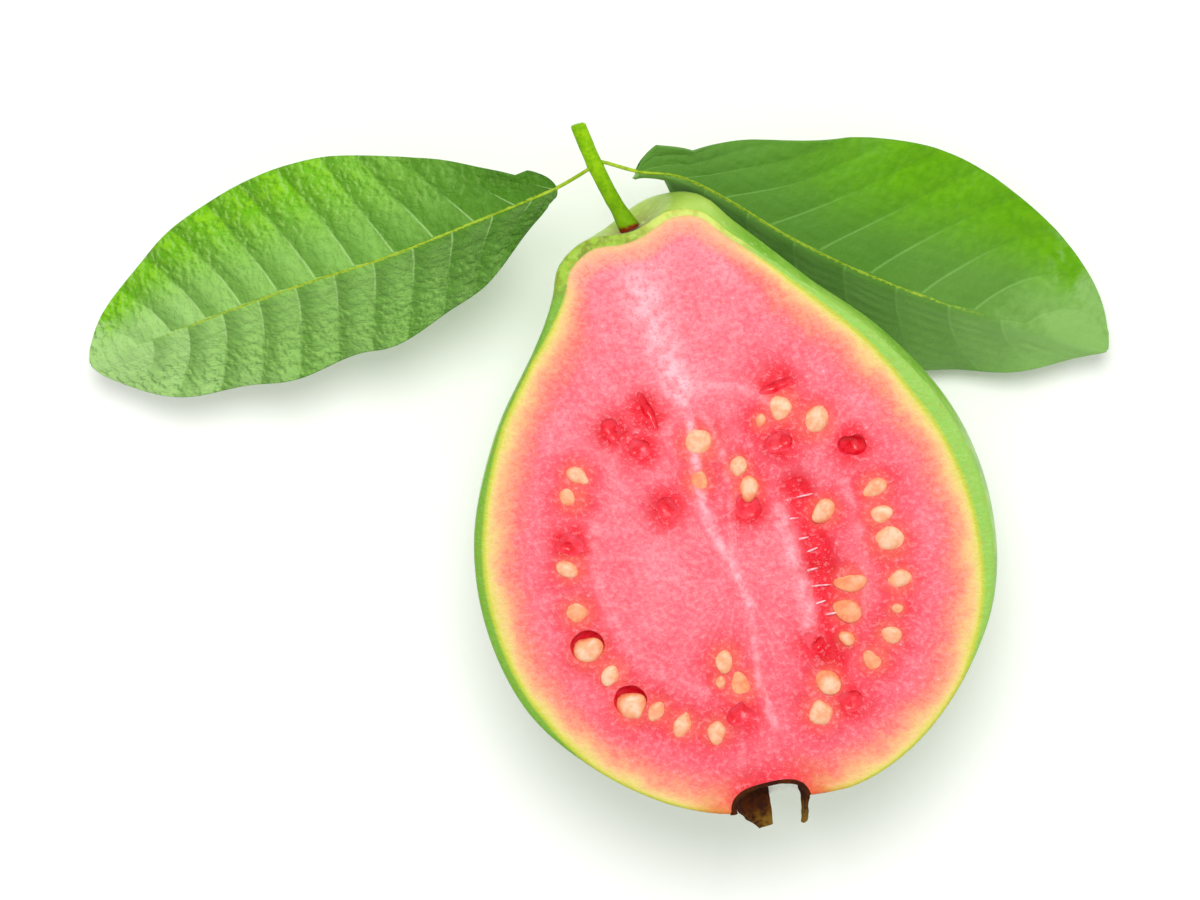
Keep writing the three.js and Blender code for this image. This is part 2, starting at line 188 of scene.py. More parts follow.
MIDRIB_RADIUS = {"stalk": 0.27, "base": 0.14, "tip": 0.07}
# The colours of each upper side, 0 to 255, with the painted light and shade on it, and how strongly each mark
# shows
LEAF_TONES = {
    "right_leaf": {
        "along": [(0.0, (98, 150, 58)), (0.5, (94, 146, 50)), (0.74, (108, 158, 66)),
                  (0.88, (142, 190, 100))],
        "bright": ((96, 164, 0), (110, 178, 4)),
        "glow_across": (0.14, 0.78),
        "glow_along": (0.15, 0.5, 0.84, 0.95),
        "dark": (76, 128, 34),
        "light": (152, 202, 112),
        "wrinkle_light": (140, 196, 84),
        "inner_share": 0.5,
        "crease_light_share": 0.15,
        "inner_folds": 0.3,
        "shade": 0.22,
        "wrinkle": 0.12,
        "vein": 0.36,
        "furrow_shade": 0.1,
        "bump": 0.16,
        "rib_end": 0.8,
    },
    "left_leaf": {
        "along": [(0.0, (64, 114, 24)), (0.16, (88, 142, 40)), (0.34, (134, 190, 82)),
                  (0.65, (152, 206, 100)), (0.9, (176, 222, 132))],
        "bright": ((114, 194, 6), (144, 214, 28)),
        "glow_across": (0.2, 0.82),
        "glow_along": (0.15, 0.5, 0.92, 0.99),
        "dark": (80, 138, 30),
        "light": (184, 226, 144),
        "wrinkle_light": (176, 222, 116),
        "inner_share": 0.15,
        "crease_light_share": 0.0,
        "inner_folds": 1.6,
        "shade": 0.62,
        "wrinkle": 0.5,
        "vein": 0.5,
        "furrow_shade": 0.7,
        "bump": 0.5,
        "rib_end": 0.88,
    },
}

# The dried calyx
CALYX = {"radius": 5.2, "wall": 0.9, "ring": 1.5, "gap": 0.35, "plate": 0.5}
SEPAL_RADIUS = 5.7
SEPALS = [
    {"turn": 221, "tip_turn": 246, "length": 7.0, "half_turn": 44, "tip_half_turn": 10, "flare": -0.8},
    {"turn": 349, "tip_turn": 318, "length": 7.5, "half_turn": 16, "tip_half_turn": 7, "flare": -0.9},
]
# The rim along the pit, between two directions in degrees
ARCH = {"from": 176.0, "to": 6.0, "inset": 0.3, "down": 0.5, "radius": 0.5}

# The view: the photograph's scale, its centre on the cut face, and the camera's turns
FRAME_WIDTH = 174.0  # of the cut face, across the picture
VIEW_CENTRE = (-14.66, 21.33, CUT_HEIGHT)
VIEW_TURN = {"right": 6.0, "up": 8.0, "roll": 15.1}
CAMERA_DISTANCE = 900.0
SENSOR = 36.0

# The light, in metres and watts
KEY_LIGHT = {"at": (0.14, 0.38, 0.9), "aim": (0, 0.02, 0.03), "size": 0.4, "power": 5.9}
SKY_STRENGTH = 0.82
LIGHT_GAIN = 1.27  # how bright a level white surface shows under these lights, where 1 is full white


# Small sums

def smooth(low, high, value):
    share = min(max((value - low) / (high - low), 0.0), 1.0)
    return share * share * (3 - 2 * share)


def between3(values, share):
    """A value that runs through three values, at the shares 0, 0.5 and 1."""
    twice = share * 2
    if twice < 1:
        return values[0] + (values[1] - values[0]) * twice
    return values[1] + (values[2] - values[1]) * (twice - 1)


class SmoothLine:
    """A smooth line through a few points, walked by the share of its length."""

    SAMPLES = 60

    def __init__(self, points):
        points = [Vector(p).to_3d() for p in points]
        self.places = [points[0].copy()]
        ends = [points[0] * 2 - points[1], *points, points[-1] * 2 - points[-2]]
        for four in zip(ends, ends[1:], ends[2:], ends[3:]):
            self.places += [self.centripetal(four, i / self.SAMPLES) for i in range(1, self.SAMPLES + 1)]
        steps = [(b - a).length for a, b in zip(self.places, self.places[1:])]
        self.lengths = np.concatenate([[0.0], np.cumsum(steps)])

    @staticmethod
    def centripetal(four, share):
        first, start, end, last = four
        before, here, after = (math.sqrt((b - a).length) or 1.0 for a, b in zip(four, four[1:]))
        leave = ((start - first) / before - (end - first) / (before + here) + (end - start) / here) * here
        arrive = ((end - start) / here - (last - start) / (here + after) + (last - end) / after) * here
        square, cube = share * share, share**3
        return (
            start * (2 * cube - 3 * square + 1)
            + leave * (cube - 2 * square + share)
            + end * (3 * square - 2 * cube)
            + arrive * (cube - square)
        )

    def at(self, share):
        length = share * self.lengths[-1]
        i = int(min(max(np.searchsorted(self.lengths, length) - 1, 0), len(self.places) - 2))
        part = (length - self.lengths[i]) / (self.lengths[i + 1] - self.lengths[i])
        return self.places[i].lerp(self.places[i + 1], part)

    def heading(self, share):
        step = 0.0005
        return (self.at(min(share + step, 1)) - self.at(max(share - step, 0))).normalized()


def distance_to_line(places, line):
    """The distance of each (x, y) place to a smooth line through a few (x, y) points."""
    drawn = SmoothLine([(x, y, 0) for x, y in line])
    points = np.array([drawn.at(i / 24)[:2] for i in range(25)])
    nearest = np.full(len(places), 1e9)
    for a, b in zip(points, points[1:]):
        along = b - a
        share = np.clip(((places - a) @ along) / (along @ along), 0, 1)
        nearest = np.minimum(nearest, np.linalg.norm(places - a - share[:, None] * along, axis=1))
    return nearest


def nearness(places, line, width):
    """1 on a line and falling to 0 away from it."""
    return np.exp(-((distance_to_line(places, line) / width) ** 2))


# Modelling

def begin(name):
    """Names the primitive that was just added and gives it back."""
    piece = bpy.context.object
    piece.name = name
    piece.data.name = name
    return piece


def only(piece):
    bpy.ops.object.select_all(action="DESELECT")
    piece.select_set(True)
    bpy.context.view_layer.objects.active = piece


def edit(piece, select="SELECT"):
    only(piece)
    bpy.ops.object.mode_set(mode="EDIT")
    bpy.ops.mesh.select_all(action=select)


def leave_edit():
    bpy.ops.object.mode_set(mode="OBJECT")


def vertex_places(piece):
    places = np.empty(len(piece.data.vertices) * 3)
    piece.data.vertices.foreach_get("co", places)
    return places.reshape(-1, 3)


def place_vertices(piece, places):
    piece.data.vertices.foreach_set("co", np.asarray(places, dtype=float).ravel())
    piece.data.update()


def move_vertices(piece, move):
    place_vertices(piece, [move(Vector(p)) for p in vertex_places(piece)])


def mend(piece, distance=0.002):
    """Merges doubles and turns the faces outwards."""
    edit(piece)
    bpy.ops.mesh.remove_doubles(threshold=distance)
    bpy.ops.mesh.normals_make_consistent(inside=False)
    leave_edit()


def apply(piece, kind, **settings):
    only(piece)
    modifier = piece.modifiers.new(kind.title(), kind)
    for key, value in settings.items():
        setattr(modifier, key, value)
    bpy.ops.object.modifier_apply(modifier=modifier.name)


def store(piece, name, values):
    """Keeps a value for each vertex, for the materials to read."""
    kept = piece.data.attributes.get(name) or piece.data.attributes.new(name, "FLOAT", "POINT")
    kept.data.foreach_set("value", np.asarray(values, dtype=np.float32))


def finish_piece(piece, node_name, *materials, angle=None):
    """Brings a piece to metres, gives it its finish and hangs it on the frame."""
    piece.data.transform(Matrix.Scale(MM, 4))
    if materials:
        piece.data.materials.clear()
        for material in materials:
            piece.data.materials.append(material)
    only(piece)
    if angle is None:
        bpy.ops.object.shade_smooth()
    else:
        bpy.ops.object.shade_smooth_by_angle(angle=math.radians(angle))
    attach(piece, "root")
    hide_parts(node_name)
    return piece


def drawn_line(name, points):
    """A line of edges, drawn by extruding one point."""
    bpy.ops.mesh.primitive_plane_add(size=1)
    line = begin(name)
    edit(line)
    bpy.ops.mesh.merge(type="CENTER")
    bpy.ops.transform.translate(value=points[0])
    for a, b in zip(points, points[1:]):
        bpy.ops.mesh.extrude_region_move(TRANSFORM_OT_translate={"value": b - a})
    leave_edit()
    return line


def drawn_rod(name, sides, steps):
    """A round rod of radius 1 along +Y from 0 to 1, drawn by extruding its end."""
    quarter = math.pi / 2
    bpy.ops.mesh.primitive_circle_add(vertices=sides, radius=1, fill_type="NGON", rotation=(quarter, 0, 0))
    rod = begin(name)
    bpy.ops.object.transform_apply(rotation=True)
    edit(rod)
    for _ in range(steps):
        bpy.ops.mesh.extrude_region_move(TRANSFORM_OT_translate={"value": (0, 1 / steps, 0)})
    leave_edit()
    mend(rod)
    return rod


def copy_of(piece, name):
    made = piece.copy()
    made.data = piece.data.copy()
    made.name = name
    bpy.context.scene.collection.objects.link(made)
    return made


def joined(pieces, name):
    only(pieces[0])
    for piece in pieces[1:]:
        piece.select_set(True)
    bpy.ops.object.join()
    return begin(name)


# The fruit

def axis_depth(y):
    calyx = (AXIS_DEPTH["calyx"] - AXIS_DEPTH["middle"]) * smooth(-8, -36, y)
    stem = (AXIS_DEPTH["stem"] - AXIS_DEPTH["middle"]) * smooth(15, 50, y)
    return AXIS_DEPTH["middle"] + calyx + stem


def neck_nod(x):
    share = smooth(NECK_NOD["from"], NECK_NOD["to"], x)
    return NECK_NOD["left"] + (NECK_NOD["right"] - NECK_NOD["left"]) * share


def fruit_place(v):
    """Where a point of the plain turned shape goes on the fruit."""
    turn = math.atan2(v.z, v.x)
    end = smooth(-10, -34, v.y) * smooth(-37, -34, v.y) + 0.5 * smooth(34, 48, v.y) * smooth(54, 50, v.y)
    swell = 1 + RIBS["height"] * math.cos(RIBS["count"] * turn) * end
    v.x *= swell
    v.z *= swell
    y = v.y
    if v.z < 0:
        v.z *= FLATTEN * (1 + BELLY_SLOPE * min(y, 20)) - CALYX_ROUNDING * smooth(-4, -36, y)
    neck = smooth(36, 52, y)
    v.y += (NECK_TILT * v.x - neck_nod(v.x) * v.z) * neck
    v.x += NECK_SHIFT * neck
    v.z += CUT_HEIGHT - axis_depth(y)
    return v


def whole_body(skin):
    """The uncut fruit, its outline spun about its own axis."""
    outline = SmoothLine([(r, y, 0) for r, y in OUTLINE])
    points = [outline.at(i / OUTLINE_STEPS) for i in range(OUTLINE_STEPS + 1)]
    body = drawn_line("fruit_body", points)
    edit(body)
    bpy.ops.mesh.spin(steps=ROUND_STEPS, angle=2 * math.pi, center=(0, 0, 0), axis=(0, 1, 0))
    leave_edit()
    move_vertices(body, fruit_place)
    mend(body, 0.02)
    body.data.materials.append(skin)
    return body


def relief(places):
    """The height of the cut face's own relief at each (x, y) place."""
    height = -TRENCH_DEPTH * nearness(places, TRENCH, TRENCH_WIDTH)
    for width, strength, line in PALE_LINES:
        height += 0.12 * strength * nearness(places, line, width)
    waves = [noise.noise(Vector((x * 0.35, y * 0.35, 0))) for x, y in places]
    bumps = [noise.noise(Vector((x * 1.3, y * 1.3, 5))) for x, y in places]
    return height + 0.13 * np.array(waves) + 0.05 * np.array(bumps)


def cut_block(flesh):
    """A block whose fine top is the cut face and whose bottom is the flat spot."""
    low, high = BLOCK["low"], BLOCK["high"]
    size = [h - l for l, h in zip(low, high)]
    bpy.ops.mesh.primitive_grid_add(
        x_subdivisions=round(size[0] / CUT_STEP),
        y_subdivisions=round(size[1] / CUT_STEP),
        size=1,
        location=((low[0] + high[0]) / 2, (low[1] + high[1]) / 2, CUT_HEIGHT),
    )
    block = begin("cut_block")
    block.scale = (size[0], size[1], 1)
    bpy.ops.object.transform_apply(location=True, scale=True)
    places = vertex_places(block)
    places[:, 2] += relief(places[:, :2])
    place_vertices(block, places)
    edit(block)
    bpy.ops.mesh.region_to_loop()
    bpy.ops.mesh.extrude_edges_move(TRANSFORM_OT_translate={"value": (0, 0, -1)})
    leave_edit()
    places = vertex_places(block)
    places[places[:, 2] < CUT_HEIGHT - 0.8, 2] = 0
    return close_block(block, flesh)


def close_block(block, flesh):
    """Draws the block's open rim down to the table and closes it."""
    places = vertex_places(block)
    rim = [v.index for v in block.data.vertices if v.select]
    places[rim, 2] = 0
    place_vertices(block, places)
    edit(block, "DESELECT")
    bpy.ops.mesh.select_mode(type="EDGE")
    bpy.ops.mesh.select_non_manifold(extend=False)
    bpy.ops.mesh.edge_face_add()
    leave_edit()
    mend(block)
    block.data.materials.append(flesh)
    return block


def seed_places():
    """(kind, x, y, turn, size) of every seed and pocket."""
    draw = random.Random(RANDOM_SEED)
    found = []
    for holds, places in SEED_GROUPS.values():
        for kind, (x, y) in zip(holds, places):
            size = list(SEED_SIZES.get(kind) or POCKET_SIZES[kind])
            size[0] *= 1 + draw.uniform(-SEED_SPREAD, SEED_SPREAD)
            size[1] *= 1 + draw.uniform(-SEED_SPREAD, SEED_SPREAD)
            turn = math.atan2(y - SEED_CORE[1], x - SEED_CORE[0]) + draw.uniform(-SEED_TURN, SEED_TURN)
            turn = SLIT_TURNS.get((x, y), turn)
            found.append((kind, x, y, turn, size))
    return found


def ball(name, radii, place, turn=0.0, segments=28, rings=16, tilt=(0.0, 0.0)):
    bpy.ops.mesh.primitive_uv_sphere_add(segments=segments, ring_count=rings, radius=1)
    made = begin(name)
    made.scale = radii
    bpy.ops.object.transform_apply(scale=True)
    made.rotation_euler = (tilt[0], tilt[1], turn)
    made.location = place
    bpy.ops.object.transform_apply(location=True, rotation=True)
    return made


def roughen(piece, height, scale, offset=0.0):
    """Pushes a piece's points about along their own direction from its middle."""
    places = vertex_places(piece)
    middle = places.mean(axis=0)
    for i, place in enumerate(places):
        away = Vector(place - middle).normalized()
        push = height * noise.noise(Vector(place) * scale + Vector((offset, offset, 0)))
        places[i] += np.array(away) * push
    place_vertices(piece, places)


def pocket_cutter(kind, x, y, turn, size, pocket):
    """What takes out an empty pocket, or the gap on the upper side of a big seed."""
    room, shift, depth = 0, 0, size[2]
    if kind in SEED_SIZES:
        room, shift, depth = SEED_GAP["growth"], SEED_GAP["shift"], size[2] - size[3]
    if (x, y) == DEEP_POCKET["at"]:
        room, depth = DEEP_POCKET["grown"], DEEP_POCKET["depth"]
    radii = (size[0] / 2 + room, size[1] / 2 + room, depth)
    cutter = ball("pocket", radii, (x, y + shift, CUT_HEIGHT + 0.1), turn)
    roughen(cutter, POCKET_ROUGHNESS[kind], 0.5, x)
    cutter.data.materials.append(pocket)
    return cutter


def pocket_cutters(pocket):
    def is_cut(kind, x):
        return kind in POCKET_SIZES or (kind == "B" and x < SEED_GAP["left_of"])

    return [pocket_cutter(*place, pocket) for place in seed_places() if is_cut(*place[:2])]


def cut(body, operation, *cutters):
    """Cuts the body with each cutter in turn, and each cutter leaves its material."""
    settings = {"operation": operation, "solver": "MANIFOLD", "material_mode": "TRANSFER"}
    for cutter in cutters:
        apply(body, "BOOLEAN", object=cutter, **settings)
        bpy.data.objects.remove(cutter)


def skin_band(places):
    """How wide the skin is on the cut face, in the direction of each (x, y) place."""
    turns = np.degrees(np.arctan2(places[:, 1], places[:, 0]))
    return np.interp(turns, *zip(*SKIN_BAND))


def cut_outline(body):
    """The points where the skin meets the cut face."""
    kinds = {}
    for polygon in body.data.polygons:
        for v in polygon.vertices:
            kinds.setdefault(v, set()).add(polygon.material_index)
    places = vertex_places(body)
    both = [places[v] for v, kind in kinds.items() if {0, 1} <= kind]
    return [place for place in both if place[2] > CUT_HEIGHT - 3]


def rim_distances(body, flat):
    """How far each (x, y) place is from the skin."""
    outline = cut_outline(body)
    tree = kdtree.KDTree(len(outline))
    for i, place in enumerate(outline):
        tree.insert((place[0], place[1], 0), i)
    tree.balance()
    return np.array([tree.find((x, y, 0))[2] for x, y in flat])


def seed_marks(flat):
    """How warm, how deep pink and how red each (x, y) place is round the seeds, pockets and trench."""
    red = 1.25 * nearness(flat, TRENCH, TRENCH_WIDTH * 1.15)
    warm, zone = np.zeros(len(flat)), np.zeros(len(flat))
    for kind, x, y, _, size in seed_places():
        strength = 1.0 if kind in POCKET_SIZES else 0.75
        reach = (size[0] + 1.4 * size[1]) / 4 + 1.3
        away = np.hypot(flat[:, 0] - x, flat[:, 1] - y)
        red = np.maximum(red, strength * np.exp(-((away / reach) ** 3)))
        zone = np.maximum(zone, np.exp(-((away / 4.6) ** 2)))
        if kind in SEED_SIZES:
            warm = np.maximum(warm, np.exp(-((away / (reach - 1.0)) ** 4)))
    to_pit = np.hypot((flat[:, 0] - PIT["x"]) / PIT["across"], (flat[:, 1] - PIT["y"]) / PIT["along"])
    red = np.maximum(red, 0.7 * np.exp(-(((to_pit - 1) / 0.8) ** 2)))
    upper_right = (flat[:, 0] > 5) & (flat[:, 1] > -12)
    return {"warm": warm, "zone": zone * np.where(upper_right, 1.4, 1.0), "red": red}


def mark_cut_face(body):
    """Keeps for the flesh how far in it is from the rind, how red and how pale, and rounds the cut edge."""
    places = vertex_places(body)
    flat = places[:, :2]
    rim = rim_distances(body, flat)
    thinning = 1 + 1.1 * np.clip((flat[:, 1] - 36) / 8, 0, 1)
    pale = [strength * nearness(flat, line, width) for width, strength, line in PALE_LINES]
    marks = {"rind": (rim - skin_band(flat)) * thinning, **seed_marks(flat), "pale": np.max(pale, axis=0)}
    for name, values in marks.items():
        store(body, name, values)
    on_top = places[:, 2] > CUT_HEIGHT - 1.2
    drop = CUT_EDGE - np.sqrt(np.maximum(CUT_EDGE**2 - np.maximum(CUT_EDGE - rim, 0) ** 2, 0))
    places[:, 2] -= np.where(on_top & (rim < CUT_EDGE), drop, 0) * 0.8
    place_vertices(body, places)


def pit_cutter(lining):
    pit = ball("pit", (1, 1, 1), (0, 0, 0), segments=64, rings=32)

    def shape(v):
        squared = [math.copysign(abs(c) ** PIT["squareness"], c) for c in v]
        return Vector((
            PIT["x"] + PIT["across"] * squared[0],
            PIT["y"] + PIT["along"] * squared[1],
            CUT_HEIGHT - PIT["depth"] + PIT["across"] * v.z,
        ))

    move_vertices(pit, shape)
    pit.data.materials.append(lining)
    return pit


def fruit(skin, flesh, pocket, lining):
    body = whole_body(skin)
    cut(body, "INTERSECT", cut_block(flesh))
    cut(body, "DIFFERENCE", pit_cutter(lining), *pocket_cutters(pocket))
    mark_cut_face(body)
    return finish_piece(body, "fruit_half", angle=50)


# The seeds

def plain_seed():
    """One seed, 1 long, 1 wide and 1 thick, with its blunt point at -X."""
    seed = ball("seed", (0.5, 0.5, 0.5), (0, 0, 0), segments=20, rings=14)

    def shape(v):
        narrow = 1 - 0.26 * smooth(0.1, -0.5, v.x) - 0.06 * smooth(0.2, 0.5, v.x)
        return Vector((v.x, v.y * narrow, v.z * (1 - 0.3 * smooth(0.1, -0.5, v.x))))

    move_vertices(seed, shape)
    return seed


def seeds(material):
    plain = plain_seed()
    draw = random.Random(RANDOM_SEED + 1)
    made = []
    for kind, x, y, turn, size in seed_places():
        if kind in POCKET_SIZES:
            continue
        length, width, thickness, rise, orange = size
        seed = copy_of(plain, "seed")
        roll = Matrix.Rotation(draw.uniform(-0.25, 0.25), 4, "X")
        tilt = Matrix.Rotation(draw.uniform(-0.2, 0.2), 4, "Y")
        place = Matrix.Translation((x, y, CUT_HEIGHT + rise - thickness / 2)) @ Matrix.Rotation(turn, 4, "Z")
        seed.data.transform(place @ (roll @ tilt) @ Matrix.Diagonal((length, width, thickness, 1)))
        roughen(seed, 0.22, 0.6, x * 3)
        tone = min(max(orange + draw.uniform(-0.15, 0.15), 0), 1)
        store(seed, "orange", [tone] * len(seed.data.vertices))
        made.append(seed)
    bpy.data.objects.remove(plain)
    return finish_piece(joined(made, "seeds"), "fruit_half", material)


def fibres(material):
    """The short pale strands across the trench."""
    draw = random.Random(RANDOM_SEED + 2)
    made = []
    for x, y in FIBRES:
        length = draw.uniform(0.8, 1.6)
        turn = draw.uniform(-0.2, 0.2)
        strand = ball("strand", (length, 0.16, 0.14), (x, y, CUT_HEIGHT - 0.45), turn, 12, 8)
        roughen(strand, 0.12, 1.2, x)
        made.append(strand)
    return finish_piece(joined(made, "fibres"), "fruit_half", material)


# The stem

def stem_point(share):
    along = STEM["length"] * share
    return Vector((
        NECK_SHIFT - STEM["lean"] * along - STEM["bow"] * math.sin(math.pi * share),
        OUTLINE[-1][1] + STEM["gap"] + along,
        CUT_HEIGHT - AXIS_DEPTH["stem"] + STEM["rise"] * along,
    ))


def stem(material):
    rod = drawn_rod("stem_rod", 32, 60)

    def shape(v):
        share = v.y
        radius = STEM["foot"] + (STEM["radius"] - STEM["foot"]) * smooth(0, 0.22, share)
        radius += (STEM["tip"] - STEM["radius"]) * share - 0.25 * smooth(0.985, 1, share)
        turn = math.atan2(v.z, v.x)
        knobs = noise.noise(Vector((math.cos(turn), math.sin(turn), share * 9)))
        radius *= 1 + 0.05 * knobs + 0.06 * math.exp(-((share - 0.6) / 0.035) ** 2)
        tilt = radius * (NECK_TILT * v.x - neck_nod(radius * v.x) * v.z) * smooth(0.4, 0, share)
        middle = stem_point(share)
        return Vector((middle.x + radius * v.x, middle.y + tilt, middle.z + radius * v.z))

    move_vertices(rod, shape)
    return finish_piece(rod, "stem", material, angle=50)


# The leaves

def blade_width(share, outer, spec):
    swell = math.sin(math.pi * min(share ** (math.log(0.5) / math.log(spec["widest_at"])), 1))
    prefix = "" if outer else "inner_"
    power = spec["fullness"][prefix + ("tip" if share > spec["widest_at"] else "base")]
    widest = spec["half_width"] * (1 if outer else spec["inner_share"])
    shoulder = spec["shoulder"]
    lobe = shoulder["outer" if outer else "inner"] * math.sqrt(min(share / shoulder["length"], 1))
    return max(widest * max(LEAF_END_WIDTH, max(swell, 0) ** power), lobe * smooth(1, 0.5, share))


def line_of(points):
    return SmoothLine([(x, y, CUT_HEIGHT + down) for x, y, down in points])


def blade_frame(midrib, spec, share):
    """At a share of the midrib: the place, the level direction outwards and the direction up."""
    heading = midrib.heading(share)
    outward = Vector(spec["outward"]).normalized()
    level = (outward - heading * outward.dot(heading)).normalized()
    lift = heading.cross(level)
    return midrib.at(share), level, lift if lift.z > 0 else -lift


def blade_point(midrib, spec, share, t):
    """(place, up, wave, vein phase, width) of the blade's middle, t across it from -1, inner, to 1, outer."""
    place, level, lift = blade_frame(midrib, spec, share)
    outer = t > 0
    name, side, shift = ("outer", 1, 0) if outer else ("inner", -1, 1)
    width = abs(t) * blade_width(share, outer, spec)
    droop = math.radians(between3(spec[name + "_droop"], share))
    bend = droop * (1 - math.exp(-width / FOLD_WIDTH))
    across = level * side * math.cos(bend) - lift * math.sin(bend)
    up = lift * math.cos(bend) + level * side * math.sin(bend)
    wave = EDGE_WAVE["height"] * t**4 * math.sin(2 * math.pi * EDGE_WAVE["count"] * share + 2 * shift)
    phase = (share - spec["sweep"][name] * abs(t) ** 1.2) * spec["veins"] + 0.45 * shift
    return place + across * width, up, wave, phase, width


def blade_relief(spec, share, t, phase, width):
    """The quilting between the veins with its wrinkles, flat at the midrib and at the edge."""
    panel = abs(math.sin(math.pi * phase)) ** 0.7 - 0.5
    calm = smooth(0, 3, width) * smooth(1.0, 0.85, abs(t))
    cross = math.sin(width * 3.4 + 2.2 * noise.noise(Vector((phase * 1.3, width * 0.3, 2))))
    bumps = noise.noise(Vector((share * 42, t * 11, 1)))
    return calm * (spec["quilt"] * panel + spec["wrinkle"] * (0.5 * cross * (panel + 0.5) + bumps))


def leaf(name, upper, under, rib):
    spec = LEAVES[name]
    midrib = line_of(spec["midrib"])
    bpy.ops.mesh.primitive_grid_add(x_subdivisions=LEAF_GRID[0], y_subdivisions=LEAF_GRID[1], size=2)
    blade = begin(name + "_blade")
    marks = {"vein_phase": [], "rib_distance": [], "along": [], "across": []}
    shaped = []
    for x, y, _ in vertex_places(blade):
        share = (x + 1) / 2 - LEAF_END_CROWDING * math.sin(math.pi * (x + 1)) / (2 * math.pi)
        place, up, wave, phase, width = blade_point(midrib, spec, share, y)
        shaped.append(place + up * (wave + blade_relief(spec, share, y, phase, width)))
        for mark, value in zip(marks.values(), (phase, width, share, y)):
            mark.append(value)
    place_vertices(blade, shaped)
    for mark, values in marks.items():
        store(blade, mark, values)
    blade.data.materials.append(upper)
    blade.data.materials.append(under)
    edit(blade)
    bpy.ops.mesh.normals_make_consistent(inside=False)
    leave_edit()
    if blade.data.polygons[len(blade.data.polygons) // 2].normal.z < 0:
        blade.data.flip_normals()
    apply(blade, "SOLIDIFY", thickness=LEAF_THICKNESS, offset=0.0, material_offset=1, material_offset_rim=0)
    finish_piece(blade, name)
    return blade, leaf_stalk(name, spec, midrib, rib)


def leaf_stalk(name, spec, midrib, material):
    """The leaf's stalk and the midrib that it goes on as, one tapering rod that shows on both sides."""
    stalk = line_of([spec["root"], spec["petiole"], *spec["midrib"]])
    rod = drawn_rod(name + "_stalk", 12, 220)
    blade_from = 1 - midrib.lengths[-1] / stalk.lengths[-1]
    thick, thin, end = (MIDRIB_RADIUS[k] for k in ("stalk", "base", "tip"))
    rib_end = spec["rib_end"]

    def shape(v):
        share = v.y
        on_blade = min(max((share - blade_from) / (1 - blade_from), 0), 1)
        heading = stalk.heading(share)
        _, level, _ = blade_frame(midrib, spec, on_blade)
        side = (level - heading * level.dot(heading)).normalized()
        up = heading.cross(side)
        up = up if up.z > 0 else -up
        radius = thick + (thin - thick) * smooth(0, 0.06, on_blade)
        radius += (end - thin) * smooth(0.05, rib_end, on_blade)
        above = 0.2 * smooth(0, 0.04, on_blade) - 0.25 * smooth(rib_end - 0.12, rib_end, on_blade)
        above += 0.09 * noise.noise(Vector((on_blade * 70, 3, 0))) * smooth(0.1, 0.3, on_blade)
        deepened = 1.1 if v.z > 0 else 1 + 1.4 * smooth(0, 0.1, on_blade)
        return stalk.at(share) + side * (v.x * radius) + up * (v.z * radius * deepened + above)

    move_vertices(rod, shape)
    mend(rod)
    return finish_piece(rod, name, material)


# The calyx

def calyx(material):
    middle = Vector((PIT["x"], 0, CUT_HEIGHT - PIT["depth"]))
    roof = PIT["y"] + PIT["along"] - CALYX["gap"]
    pieces = [calyx_plate(middle, roof)]
    pieces += [sepal(spec, middle, roof) for spec in SEPALS]
    pieces.append(calyx_arch())
    crown = joined(pieces, "calyx_crown")
    roughen(crown, 0.2, 0.9, 3)
    return finish_piece(crown, "calyx", material, angle=60)


def calyx_plate(middle, roof):
    """The dry plate under the pit's roof, with the ring that its edge turns down to."""
    radius, wall, plate, ring = (CALYX[k] for k in ("radius", "wall", "plate", "ring"))
    section = [
        (0.01, roof), (radius * 0.6, roof - 0.1), (radius * 0.9, roof - 0.5), (radius, roof - ring),
        (radius - wall, roof - ring - 0.4), (radius * 0.72, roof - plate - 0.5),
        (radius * 0.5, roof - plate - 0.1), (0.01, roof - plate), (0.01, roof),
    ]
    made = drawn_line("calyx_plate", [Vector((r, y, 0)) for r, y in section])
    edit(made)
    bpy.ops.mesh.spin(steps=44, angle=math.radians(190), center=(0, 0, 0), axis=(0, 1, 0))
    bpy.ops.mesh.select_all(action="DESELECT")
    bpy.ops.mesh.select_non_manifold(extend=False)
    bpy.ops.mesh.edge_face_add()
    leave_edit()
    places = vertex_places(made)
    downwards = -1 if places[:, 2].mean() > 0 else 1
    lean = Matrix.Rotation(math.radians(5), 3, "Y")
    move_vertices(made, lambda v: lean @ Vector((v.x, v.y, v.z * downwards)) + middle)
    mend(made)
    return made


def calyx_arch():
    """The dry brown rim along the pit, just below the cut face."""
    rod = drawn_rod("calyx_arch", 12, 70)

    def shape(v):
        turn = math.radians(ARCH["from"] + (ARCH["to"] - ARCH["from"]) * v.y)
        out = Vector((math.cos(turn), math.sin(turn), 0))
        across, along = (math.copysign(abs(c) ** PIT["squareness"], c) for c in out[:2])
        x = PIT["x"] + (PIT["across"] - ARCH["inset"]) * across
        y = PIT["y"] + (PIT["along"] - ARCH["inset"]) * along
        thick = ARCH["radius"] * (1 + 0.3 * noise.noise(Vector((v.y * 9, 1, 0))))
        return Vector((x, y, CUT_HEIGHT - ARCH["down"] + thick * v.z)) + out * (thick * v.x)

    move_vertices(rod, shape)
    mend(rod)
    return rod


